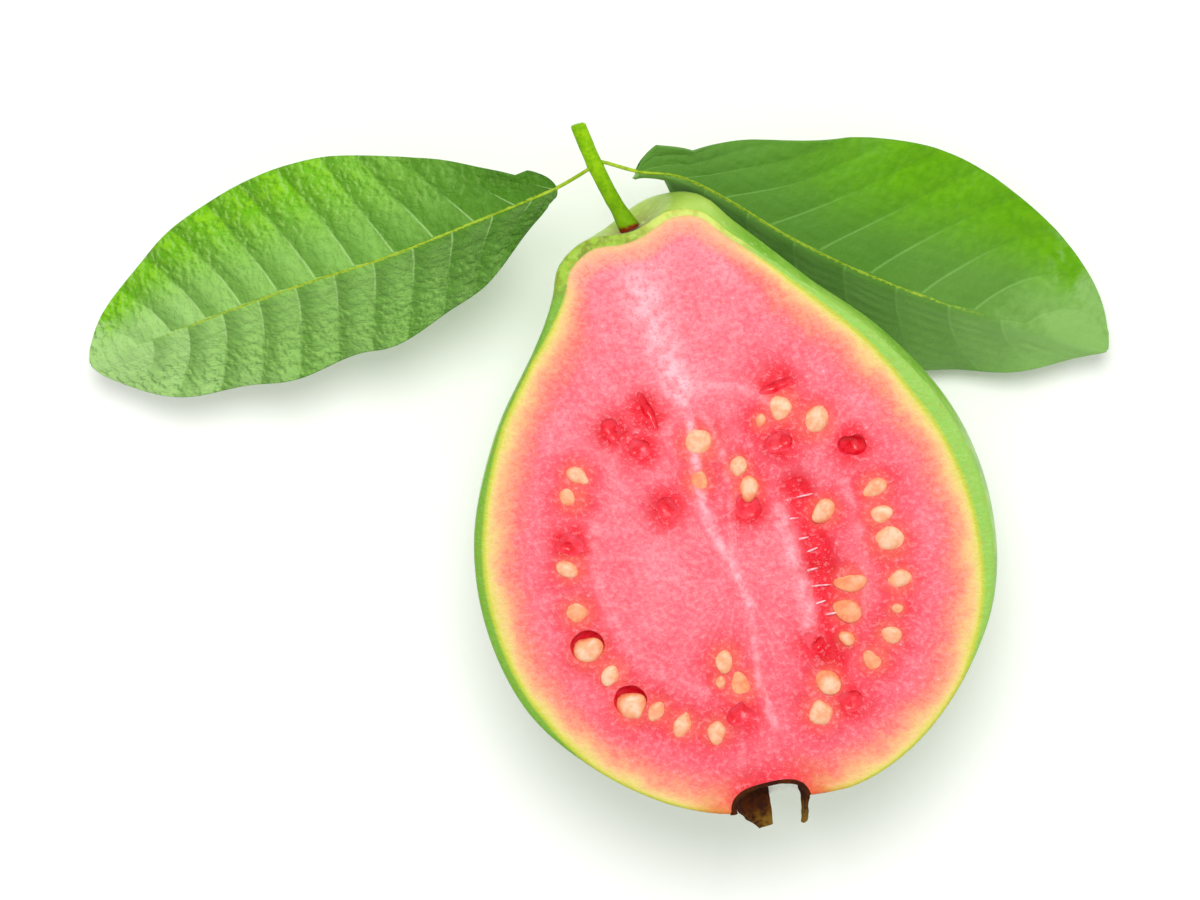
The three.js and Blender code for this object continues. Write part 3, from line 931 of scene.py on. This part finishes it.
def sepal(spec, middle, roof):
    bpy.ops.mesh.primitive_grid_add(x_subdivisions=30, y_subdivisions=24, size=2)
    made = begin("sepal")

    def shape(v):
        share, t = (v.x + 1) / 2, v.y
        half = spec["half_turn"] + (spec["tip_half_turn"] - spec["half_turn"]) * share**1.3
        turn = math.radians(spec["turn"] + (spec["tip_turn"] - spec["turn"]) * share + t * half)
        r = SEPAL_RADIUS * (0.84 + 0.16 * smooth(0, 0.4, share)) + spec["flare"] * share * share
        r += 0.15 * math.sin(3 * t + 4 * share)
        y = roof - spec["length"] * share
        return Vector((middle.x + r * math.cos(turn), y, middle.z + 0.4 + r * math.sin(turn)))

    move_vertices(made, shape)
    apply(made, "SOLIDIFY", thickness=0.6, offset=0.0)
    mend(made)
    return made


# Materials

def rgb(red, green, blue):
    """The colour that a level surface needs to show as these values, 0 to 255, under the scene's lights."""
    def needed(value):
        share = value / 255
        linear = share / 12.92 if share <= 0.04045 else ((share + 0.055) / 1.055) ** 2.4
        return linear / LIGHT_GAIN

    return (needed(red), needed(green), needed(blue), 1.0)


class Nodes:
    """A material's or a group's nodes, with a short way to add each kind."""

    def __init__(self, tree):
        self.tree = tree
        self.place = None

    def add(self, kind, feeds=None, **settings):
        made = self.tree.nodes.new("ShaderNode" + kind)
        for key, value in settings.items():
            setattr(made, key, value)
        for key, value in (feeds or {}).items():
            if isinstance(value, bpy.types.NodeSocket):
                self.tree.links.new(value, made.inputs[key])
            else:
                made.inputs[key].default_value = value
        return made

    def calc(self, operation, first, second=0.0, clamp=False):
        return self.add("Math", {0: first, 1: second}, operation=operation, use_clamp=clamp).outputs[0]

    def plus(self, first, second):
        return self.calc("ADD", first, second)

    def less(self, first, second):
        return self.calc("SUBTRACT", first, second)

    def times(self, first, second, clamp=False):
        return self.calc("MULTIPLY", first, second, clamp)

    def size(self, value):
        return self.calc("ABSOLUTE", value)

    def vector(self, operation, feeds, result="Vector"):
        return self.add("VectorMath", feeds, operation=operation).outputs[result]

    def mix(self, share, first, second):
        return self.add("Mix", {0: share, 6: first, 7: second}, data_type="RGBA").outputs[2]

    def spread(self, value, low, high, out_low=0.0, out_high=1.0):
        feeds = {"Value": value, "From Min": low, "From Max": high, "To Min": out_low, "To Max": out_high}
        return self.add("MapRange", feeds, interpolation_type="SMOOTHSTEP").outputs[0]

    def ramp(self, value, stops):
        made = self.add("ValToRGB", {"Fac": value})
        elements = made.color_ramp.elements
        while len(elements) < len(stops):
            elements.new(0.5)
        for element, (position, colour) in zip(elements, stops):
            element.position = position
            element.color = rgb(*colour)
        return made.outputs["Color"]

    def clouds(self, scale, detail=3.0, roughness=0.55, vector=None):
        feeds = {"Vector": vector or self.place, "Scale": scale, "Detail": detail, "Roughness": roughness}
        return self.add("TexNoise", feeds).outputs["Fac"]

    def mark(self, name):
        return self.add("Attribute", attribute_name=name).outputs["Fac"]

    def axis(self, letter):
        return self.add("SeparateXYZ", {0: self.place}).outputs[letter]

    def grouped(self, name, **feeds):
        group = bpy.data.node_groups[name]
        return self.add("Group", {"Vector": self.place, **feeds}, node_tree=group).outputs

    def patches(self, scale, fineness):
        return self.grouped("mottle", Scale=scale, Fineness=fineness)["Patches"]

    def bumps(self, scale):
        return self.grouped("grain", Scale=scale)["Height"]


class Material(Nodes):
    """A material's nodes: its shader is set to its shine, the light that it scatters and its coat."""

    def __init__(self, name, shine, scatter=None, coat=None):
        self.made = bpy.data.materials.new(name)
        self.made.use_nodes = True
        super().__init__(self.made.node_tree)
        self.shader = self.tree.nodes["Principled BSDF"].inputs
        self.place = self.add("TexCoord").outputs["Object"]
        self.shader["Specular IOR Level"].default_value = shine
        for kind, parts, values in (
            ("Subsurface ", ("Weight", "Scale", "Radius"), scatter),
            ("Coat ", ("Weight", "Roughness"), coat),
        ):
            for part, value in zip(parts, values or ()):
                self.shader[kind + part].default_value = value

    def dress(self, colour, roughness, height=None, strength=0.3, distance=0.0002):
        """Links the colour, the roughness and the relief to the shader and gives the material back."""
        self.tree.links.new(colour, self.shader["Base Color"])
        self.tree.links.new(roughness, self.shader["Roughness"])
        if height is not None:
            bump = self.add("Bump", {"Height": height, "Strength": strength, "Distance": distance})
            self.tree.links.new(bump.outputs["Normal"], self.shader["Normal"])
        return self.made


def new_group(name, inputs, outputs):
    """A node group with its named sockets: returns its nodes, what comes in and what goes out."""
    group = bpy.data.node_groups.new(name, "ShaderNodeTree")
    group.interface.new_socket(name="Vector", in_out="INPUT", socket_type="NodeSocketVector")
    for label, value in inputs.items():
        socket = group.interface.new_socket(name=label, in_out="INPUT", socket_type="NodeSocketFloat")
        socket.default_value = value
    for label in outputs:
        group.interface.new_socket(name=label, in_out="OUTPUT", socket_type="NodeSocketFloat")
    nodes = Nodes(group)
    given = group.nodes.new("NodeGroupInput").outputs
    nodes.place = given["Vector"]
    return nodes, given, group.nodes.new("NodeGroupOutput").inputs


def mottle_group():
    """Soft patches of two sizes, from 0 to 1."""
    nodes, given, result = new_group("mottle", {"Scale": 300.0, "Fineness": 4.0}, ["Patches"])
    coarse = nodes.clouds(given["Scale"], 2.0)
    fine = nodes.clouds(nodes.times(given["Scale"], given["Fineness"]), 3.0)
    both = nodes.plus(nodes.times(coarse, 0.65), nodes.times(fine, 0.35))
    nodes.tree.links.new(nodes.spread(both, 0.36, 0.64), result["Patches"])


def grain_group():
    """A fine raised grain with scattered specks."""
    nodes, given, result = new_group("grain", {"Scale": 1500.0}, ["Height", "Specks"])
    cells = nodes.add("TexVoronoi", {"Vector": given["Vector"], "Scale": given["Scale"]}).outputs["Distance"]
    nodes.tree.links.new(nodes.clouds(given["Scale"], 4.0, 0.6), result["Height"])
    nodes.tree.links.new(nodes.spread(cells, 0.34, 0.12), result["Specks"])


def skin_material():
    nodes = Material("guava_skin", 0.2, (0.1, 0.0015, (0.6, 1.0, 0.25)), (0.06, 0.3))
    dots = nodes.grouped("grain", Scale=700.0)
    colour = nodes.mix(nodes.patches(70.0, 5.0), rgb(118, 182, 40), rgb(164, 214, 88))
    colour = nodes.mix(nodes.times(dots["Specks"], 0.3), colour, rgb(214, 240, 150))
    fine = nodes.clouds(420.0, 4.0)
    colour = nodes.mix(nodes.spread(fine, 0.5, 0.75, 0.0, 0.3), colour, rgb(110, 168, 38))
    neck = nodes.spread(nodes.axis("Y"), 0.043, 0.054)
    colour = nodes.mix(nodes.times(neck, 0.6), colour, rgb(206, 232, 104))
    # Olive brown round the stem's foot, painted shade in its dimple, and round the calyx.
    stem_shade_and_calyx_olive = nodes.times(nodes.mark("stem_shade_and_calyx_olive"), nodes.spread(nodes.clouds(900.0), 0.25, 0.55))
    colour = nodes.mix(stem_shade_and_calyx_olive, colour, rgb(146, 130, 40))
    return nodes.dress(colour, nodes.spread(fine, 0.3, 0.7, 0.36, 0.48), dots["Height"], 0.25, 0.00012)


def rind_colour(nodes, depth):
    """From the skin's green on the cut face through the yellow-green line and the peach rind to the flesh."""
    across, along = nodes.axis("X"), nodes.axis("Y")
    # Darker on the left and lighter on the right: painted shade and light on the skin's edge.
    green = nodes.mix(nodes.spread(across, -0.03, 0.025), rgb(120, 180, 50), rgb(154, 210, 88))
    patches = nodes.spread(nodes.clouds(500.0), 0.35, 0.6)
    # At the neck: olive on the left, painted shade in the dimple by the stem, and light yellow-green on the
    # right, painted light.
    left = nodes.mix(patches, rgb(126, 154, 34), rgb(164, 206, 60))
    right = nodes.mix(patches, rgb(188, 208, 84), rgb(214, 232, 110))
    olive = nodes.mix(nodes.spread(across, -0.004, 0.003), left, right)
    green = nodes.mix(nodes.spread(along, 0.043, 0.047), green, olive)
    rind = nodes.ramp(nodes.calc("DIVIDE", depth, RIND_DEPTH, clamp=True), RIND_COLOURS)
    soft = nodes.times(nodes.spread(along, 0.041, 0.047), 0.65)
    rind = nodes.mix(soft, rind, rgb(253, 176, 148))
    return nodes.mix(nodes.spread(depth, -0.55, 0.0), green, rind)


def plain_flesh_colour(nodes, patches):
    """The flesh away from the seeds: deeper towards the calyx and paler at the neck."""
    along = nodes.axis("Y")
    flesh = nodes.mix(patches, rgb(252, 118, 134), rgb(253, 142, 155))
    deeper = nodes.mix(patches, rgb(250, 88, 106), rgb(252, 114, 130))
    broad = nodes.spread(nodes.clouds(90.0, 2.0), 0.4, 0.62)
    uneven = nodes.spread(nodes.clouds(240.0), 0.3, 0.6, 0.25, 0.85)
    zone = nodes.times(nodes.mark("zone"), uneven, clamp=True)
    for share, colour in (
        (nodes.times(nodes.spread(along, 0.0, -0.022), 0.8), deeper),
        (nodes.times(broad, 0.45), rgb(251, 96, 114)),
        (zone, rgb(251, 70, 90)),
        (nodes.times(nodes.spread(along, 0.03, 0.048), 0.3), rgb(254, 158, 166)),
        (nodes.times(radial_streaks(nodes), 0.35), rgb(254, 166, 176)),
    ):
        flesh = nodes.mix(share, flesh, colour)
    return flesh


def flesh_colour(nodes, fine):
    """The colour of the cut face, from the rind in to the core."""
    patches = nodes.patches(210.0, 4.2)
    wander = nodes.times(nodes.less(patches, 0.5), 1.3)
    wander = nodes.times(wander, nodes.spread(nodes.mark("rind"), 0.0, 2.0))
    depth = nodes.plus(nodes.mark("rind"), wander)
    inside = nodes.spread(depth, 1.0, 5.0, 0.3, 1.0)
    blotches = nodes.spread(nodes.clouds(330.0), 0.3, 0.55, 0.7, 1.2)
    pale = nodes.times(nodes.mark("pale"), nodes.spread(nodes.clouds(520.0, 5.0), 0.34, 0.66, 0.25, 1.0))
    # Painted glints: small white highlights on the wet flesh.
    glints = nodes.times(nodes.spread(nodes.clouds(1300.0, 2.0), 0.73, 0.78), inside)
    deep_red = nodes.mix(patches, rgb(232, 4, 28), rgb(252, 34, 56))
    colour = rind_colour(nodes, depth)
    for share, other in (
        (nodes.spread(depth, 4.2, 8.0), plain_flesh_colour(nodes, patches)),
        (nodes.times(nodes.mark("red"), blotches, clamp=True), deep_red),
        (nodes.times(nodes.mark("warm"), 0.6), rgb(252, 128, 104)),
        (nodes.times(pale, 0.85), rgb(254, 206, 216)),
        (nodes.times(nodes.spread(fine, 0.45, 0.0), nodes.times(inside, 0.34)), rgb(240, 66, 90)),
        (nodes.times(nodes.spread(fine, 0.6, 1.0), nodes.times(inside, 0.26)), rgb(255, 180, 190)),
        (nodes.times(glints, 0.5), rgb(255, 224, 230)),
    ):
        colour = nodes.mix(share, colour, other)
    return colour


def radial_streaks(nodes):
    """Fine streaks that run out from the core, with no seam."""
    centred = nodes.vector("SUBTRACT", {0: nodes.place, 1: (0.0, -0.0022, 0.04)})
    direction = nodes.vector("NORMALIZE", {0: centred})
    wide = nodes.vector("SCALE", {0: direction, "Scale": 13.0})
    length = nodes.vector("LENGTH", {0: centred}, "Value")
    out = nodes.add("CombineXYZ", {"Z": nodes.times(length, 170.0)}).outputs[0]
    streaks = nodes.clouds(1.0, 5.0, 0.65, nodes.vector("ADD", {0: wide, 1: out}))
    return nodes.spread(streaks, 0.45, 0.7)


def flesh_material():
    nodes = Material("guava_flesh", 0.2, (0.12, 0.0007, (1.0, 0.35, 0.25)), (0.05, 0.12))
    fine = nodes.patches(1300.0, 2.4)
    height = nodes.plus(nodes.bumps(1100.0), nodes.times(fine, 0.6))
    roughness = nodes.spread(nodes.clouds(900.0, 4.0), 0.35, 0.65, 0.28, 0.5)
    return nodes.dress(flesh_colour(nodes, fine), roughness, height, 0.4, 0.0003)


def pocket_material():
    nodes = Material("seed_pocket", 0.3, (0.1, 0.0008, (1.0, 0.2, 0.15)), (0.1, 0.1))
    depth = nodes.spread(nodes.axis("Z"), (CUT_HEIGHT + 0.1) * MM, (CUT_HEIGHT - 0.7) * MM)
    patches = nodes.patches(500.0, 3.0)
    rim = nodes.mix(patches, rgb(251, 62, 84), rgb(253, 98, 114))
    floor_red = nodes.mix(patches, rgb(236, 10, 34), rgb(252, 56, 76))
    colour = nodes.mix(depth, rim, floor_red)
    return nodes.dress(colour, nodes.spread(patches, 0.0, 1.0, 0.2, 0.36), nodes.bumps(1200.0), 0.4, 0.0003)


def lining_material():
    """The wall of the pit at the calyx: brown at the cut; further in painted near white, brighter than a
    level white surface shows, as painted light where the pit is in shade.
    """
    nodes = Material("pit_lining", 0.1)
    patches = nodes.patches(420.0, 3.0)
    edge = nodes.plus(nodes.axis("Z"), nodes.times(patches, 0.0004))
    brown = nodes.mix(patches, rgb(76, 26, 6), rgb(128, 58, 22))
    # Painted light: near white, above the colours that rgb() gives, to lift the shade deep in the pit.
    pale = nodes.mix(patches, (0.86, 0.9, 0.78, 1), (0.98, 0.98, 0.94, 1))
    colour = nodes.mix(nodes.spread(edge, (CUT_HEIGHT - 1.3) * MM, (CUT_HEIGHT - 0.7) * MM), pale, brown)
    return nodes.dress(colour, nodes.spread(patches, 0.0, 1.0, 0.6, 0.8), nodes.bumps(900.0), 0.4, 0.0002)


def seed_material():
    nodes = Material("guava_seed", 0.25, (0.12, 0.0008, (1.0, 0.6, 0.3)), (0.06, 0.15))
    patches = nodes.patches(600.0, 3.0)
    top = nodes.spread(nodes.axis("Z"), (CUT_HEIGHT - 0.1) * MM, (CUT_HEIGHT + 0.35) * MM)
    cream = nodes.mix(patches, rgb(253, 178, 130), rgb(255, 216, 182))
    amber = nodes.mix(patches, rgb(250, 138, 92), rgb(254, 170, 118))
    share = nodes.times(top, nodes.spread(nodes.mark("orange"), 1.0, 0.1, 0.25, 1.0))
    colour = nodes.mix(share, amber, cream)
    return nodes.dress(colour, nodes.spread(patches, 0.0, 1.0, 0.3, 0.46), nodes.bumps(1600.0), 0.3, 0.00015)


def fibre_material():
    nodes = Material("pale_fibre", 0.3, coat=(0.1, 0.1))
    patches = nodes.patches(900.0, 3.0)
    colour = nodes.mix(patches, rgb(252, 130, 150), rgb(255, 214, 216))
    return nodes.dress(colour, nodes.spread(patches, 0.0, 1.0, 0.2, 0.35))


def leaf_wrinkles(nodes, shift=0.0):
    """The fine wrinkles that cross the panels between the side veins, from 0 to 1."""
    along = nodes.plus(nodes.times(nodes.mark("along"), 62.0), shift)
    out = nodes.times(nodes.mark("rib_distance"), 0.6)
    vector = nodes.add("CombineXYZ", {"X": along, "Y": out}).outputs[0]
    return nodes.spread(nodes.clouds(1.0, 3.0, 0.6, vector), 0.36, 0.66)


def leaf_glow(nodes, tones, across, along, wander):
    """Where the light catches the blade's outer edge, from 0 to 1."""
    low, high = tones["glow_across"]
    start, full, fade, end = tones["glow_along"]
    glow = nodes.spread(nodes.plus(across, nodes.times(wander, 0.8)), low, high)
    glow = nodes.times(glow, nodes.spread(along, start, full))
    return nodes.times(glow, nodes.spread(nodes.plus(along, wander), end, fade))


def leaf_rib(nodes, along, rib_end):
    """The yellow-green line over the midrib, broken into dots and ending before the tip, from 0 to 1."""
    dots = nodes.spread(nodes.clouds(1300.0, 1.0), 0.4, 0.6, 0.1, 1.0)
    rib = nodes.times(nodes.spread(nodes.mark("rib_distance"), 0.26, 0.1), dots)
    return nodes.times(rib, nodes.spread(along, rib_end, rib_end - 0.2))


def leaf_material(name, tones):
    """A blade's upper side, from its tones along the leaf and the glow along its outer edge."""
    nodes = Material(name, 0.1, (0.04, 0.001, (0.4, 1.0, 0.15)))
    along, across = nodes.mark("along"), nodes.mark("across")
    patches, wrinkles = nodes.patches(120.0, 7.0), leaf_wrinkles(nodes)
    wander = nodes.times(nodes.less(patches, 0.5), 0.1)
    colour = nodes.ramp(nodes.plus(along, wander), tones["along"])
    # Mixed towards the light tone on the inner side and in the crease beside the midrib: painted light that
    # lifts the shade on the steep fold.
    inner = nodes.times(nodes.spread(across, 0.0, -0.12), tones["inner_share"])
    crease_light = nodes.times(nodes.spread(across, 0.0, -0.03), nodes.spread(across, -0.4, -0.15))
    inner = nodes.plus(inner, nodes.times(crease_light, tones["crease_light_share"]))
    colour = nodes.mix(inner, colour, rgb(*tones["light"]))
    dim, bright = (rgb(*tone) for tone in tones["bright"])
    glow = leaf_glow(nodes, tones, across, along, wander)
    colour = nodes.mix(glow, colour, nodes.mix(wrinkles, dim, bright))
    colour = leaf_panels(nodes, colour, tones, along, nodes.size(across), wrinkles)
    colour = nodes.mix(leaf_rib(nodes, along, tones["rib_end"]), colour, rgb(176, 206, 66))
    folds = nodes.times(wrinkles, nodes.spread(across, -0.1, 0.2, tones["inner_folds"], 1.6))
    height = nodes.plus(nodes.bumps(1300.0), folds)
    return nodes.dress(colour, nodes.spread(patches, 0.0, 1.0, 0.42, 0.55), height, tones["bump"], 0.0004)


def leaf_panels(nodes, colour, tones, along, out, wrinkles):
    """The panels between the side veins: painted shade towards the tip of each, painted light and shade on
    the wrinkles further out, pale veins near the midrib and painted shade beside them further out.
    """
    dark, light, wrinkle_light = (rgb(*tones[k]) for k in ("dark", "light", "wrinkle_light"))
    part = nodes.calc("FRACT", nodes.mark("vein_phase"))
    calm = nodes.spread(along, 0.97, 0.78)
    panel = nodes.times(nodes.spread(part, 0.25, 0.9), nodes.spread(part, 1.0, 0.95))
    rough = nodes.times(nodes.spread(out, 0.2, 0.6, 0.15, 1.0), tones["wrinkle"])
    # The wrinkles' slope: painted light on the side that faces the light and painted shade on the other.
    slope = nodes.less(leaf_wrinkles(nodes, 0.3), wrinkles)
    lit_side = nodes.times(nodes.spread(slope, 0.05, 0.6), nodes.spread(along, 0.05, 0.45, 0.15, 1.0))
    veins = nodes.times(leaf_vein_nearness(nodes), calm)
    # Painted shade on each panel towards its tip-ward vein, painted light and shade on the wrinkles, pale
    # veins, and painted shade in the furrows beside the veins further out.
    for share, tone in (
        (nodes.times(panel, nodes.times(calm, tones["shade"])), dark),
        (nodes.times(lit_side, rough), wrinkle_light),
        (nodes.times(nodes.spread(slope, -0.05, -0.6), rough), dark),
        (nodes.times(veins, nodes.times(nodes.spread(out, 0.75, 0.2), tones["vein"])), light),
        (nodes.times(veins, nodes.times(nodes.spread(out, 0.25, 0.7), tones["furrow_shade"])), dark),
    ):
        colour = nodes.mix(share, colour, tone)
    return colour


def leaf_vein_nearness(nodes):
    """1 on a side vein and 0 away from it, fading towards the leaf's edge."""
    part = nodes.calc("FRACT", nodes.mark("vein_phase"))
    line = nodes.spread(nodes.size(nodes.less(part, 0.5)), 0.46, 0.49)
    return nodes.times(line, nodes.spread(nodes.size(nodes.mark("across")), 0.9, 0.3, 0.1, 1.0))


def under_leaf_material():
    nodes = Material("leaf_underside", 0.2)
    patches = nodes.patches(200.0, 5.0)
    colour = nodes.mix(patches, rgb(130, 176, 92), rgb(160, 202, 118))
    colour = nodes.mix(nodes.times(leaf_vein_nearness(nodes), 0.8), colour, rgb(204, 226, 148))
    return nodes.dress(colour, nodes.spread(patches, 0.0, 1.0, 0.55, 0.7), nodes.bumps(1100.0), 0.4, 0.0003)


def stalk_material(name, low, high, foot=None):
    """Green stalk, speckled; where the end of a brown foot along Y is given, its lower half is darker too."""
    nodes = Material(name, 0.08)
    patches = nodes.patches(500.0, 4.0)
    colour = nodes.mix(patches, rgb(*low), rgb(*high))
    if foot is not None:
        along = nodes.axis("Y")
        colour = nodes.mix(nodes.spread(along, 0.064, 0.053, 0.0, 0.5), colour, rgb(88, 138, 0))
        edge = nodes.plus(along, nodes.times(patches, -0.0004))
        colour = nodes.mix(nodes.spread(edge, (foot + 0.3) * MM, (foot - 0.3) * MM), colour, rgb(128, 40, 12))
    return nodes.dress(colour, nodes.spread(patches, 0.0, 1.0, 0.4, 0.55), nodes.bumps(1500.0), 0.35, 0.0002)


def calyx_material():
    nodes = Material("dry_calyx", 0.1)
    patches = nodes.patches(420.0, 4.0)
    colour = nodes.mix(patches, rgb(54, 18, 2), rgb(88, 40, 6))
    tips = nodes.times(nodes.spread(nodes.axis("Y"), -0.036, -0.0392), patches)
    colour = nodes.mix(tips, colour, rgb(128, 96, 30))
    return nodes.dress(colour, nodes.spread(patches, 0.0, 1.0, 0.7, 0.9), nodes.bumps(900.0), 0.8, 0.0004)


# The stage

def floor():
    bpy.ops.mesh.primitive_plane_add(size=4, location=(0, 0, 0))
    made = begin("floor")
    nodes = Material("pale_floor", 0.5)
    nodes.shader["Roughness"].default_value = 0.9
    nodes.shader["Base Color"].default_value = (0.92, 0.92, 0.9, 1)
    made.data.materials.append(nodes.made)


def view_axes():
    """(towards the camera, right in the picture, up in the picture)."""
    right, up = (math.radians(VIEW_TURN[k]) for k in ("right", "up"))
    towards = Vector((math.sin(right), math.sin(up), math.cos(right) * math.cos(up))).normalized()
    roll = math.radians(VIEW_TURN["roll"])
    along = Vector((math.sin(roll), math.cos(roll), 0))
    side = along.cross(towards).normalized()
    return towards, side, towards.cross(side)


def in_scene(name, data):
    made = bpy.data.objects.new(name, data)
    bpy.context.scene.collection.objects.link(made)
    return made


def camera():
    towards, side, above = view_axes()
    data = bpy.data.cameras.new("camera")
    made = in_scene("camera", data)
    data.sensor_width = SENSOR
    data.lens = SENSOR * CAMERA_DISTANCE / FRAME_WIDTH
    place = Vector(VIEW_CENTRE) * MM + towards * CAMERA_DISTANCE * MM
    turn = Matrix((side, above, towards)).transposed().to_4x4()
    made.matrix_world = Matrix.Translation(place) @ turn
    bpy.context.scene.camera = made


def lights():
    data = bpy.data.lights.new("key", "AREA")
    data.shape = "DISK"
    data.size = KEY_LIGHT["size"]
    data.energy = KEY_LIGHT["power"]
    made = in_scene("key", data)
    made.location = KEY_LIGHT["at"]
    aim = Vector(KEY_LIGHT["aim"]) - Vector(KEY_LIGHT["at"])
    made.rotation_euler = aim.to_track_quat("-Z", "Y").to_euler()
    world = bpy.data.worlds.new("studio")
    bpy.context.scene.world = world
    world.use_nodes = True
    background = world.node_tree.nodes["Background"]
    background.inputs["Color"].default_value = (1, 1, 1, 1)
    background.inputs["Strength"].default_value = SKY_STRENGTH
    bpy.context.scene.view_settings.view_transform = "Standard"


def mark_olive_patches(body):
    """Keeps for the skin where it turns olive brown: painted shade in the dimple round the stem's foot, and
    olive round the calyx as well.
    """
    places = vertex_places(body) / MM
    foot = np.hypot(places[:, 0] - NECK_SHIFT, places[:, 2] - CUT_HEIGHT + AXIS_DEPTH["stem"])
    stem_end = np.where(places[:, 1] > 45, np.exp(-((foot / 4.2) ** 2)), 0)
    calyx_end = np.exp(-((np.linalg.norm(places - [PIT["x"], PIT["y"], CUT_HEIGHT - 1], axis=1) / 6.6) ** 8))
    store(body, "stem_shade_and_calyx_olive", np.maximum(stem_end, 0.8 * calyx_end))


def build():
    mottle_group()
    grain_group()
    camera()
    body = fruit(skin_material(), flesh_material(), pocket_material(), lining_material())
    mark_olive_patches(body)
    seeds(seed_material())
    fibres(fibre_material())
    stem(stalk_material("green_stem", (118, 176, 2), (152, 204, 14), STEM["brown_below"]))
    calyx(calyx_material())
    under = under_leaf_material()
    rib = stalk_material("leaf_midrib", (138, 172, 24), (178, 206, 56))
    for name, tones in (("leaf_right", "right_leaf"), ("leaf_left", "left_leaf")):
        leaf(name, leaf_material(tones, LEAF_TONES[tones]), under, rib)
    floor()
    lights()


build()
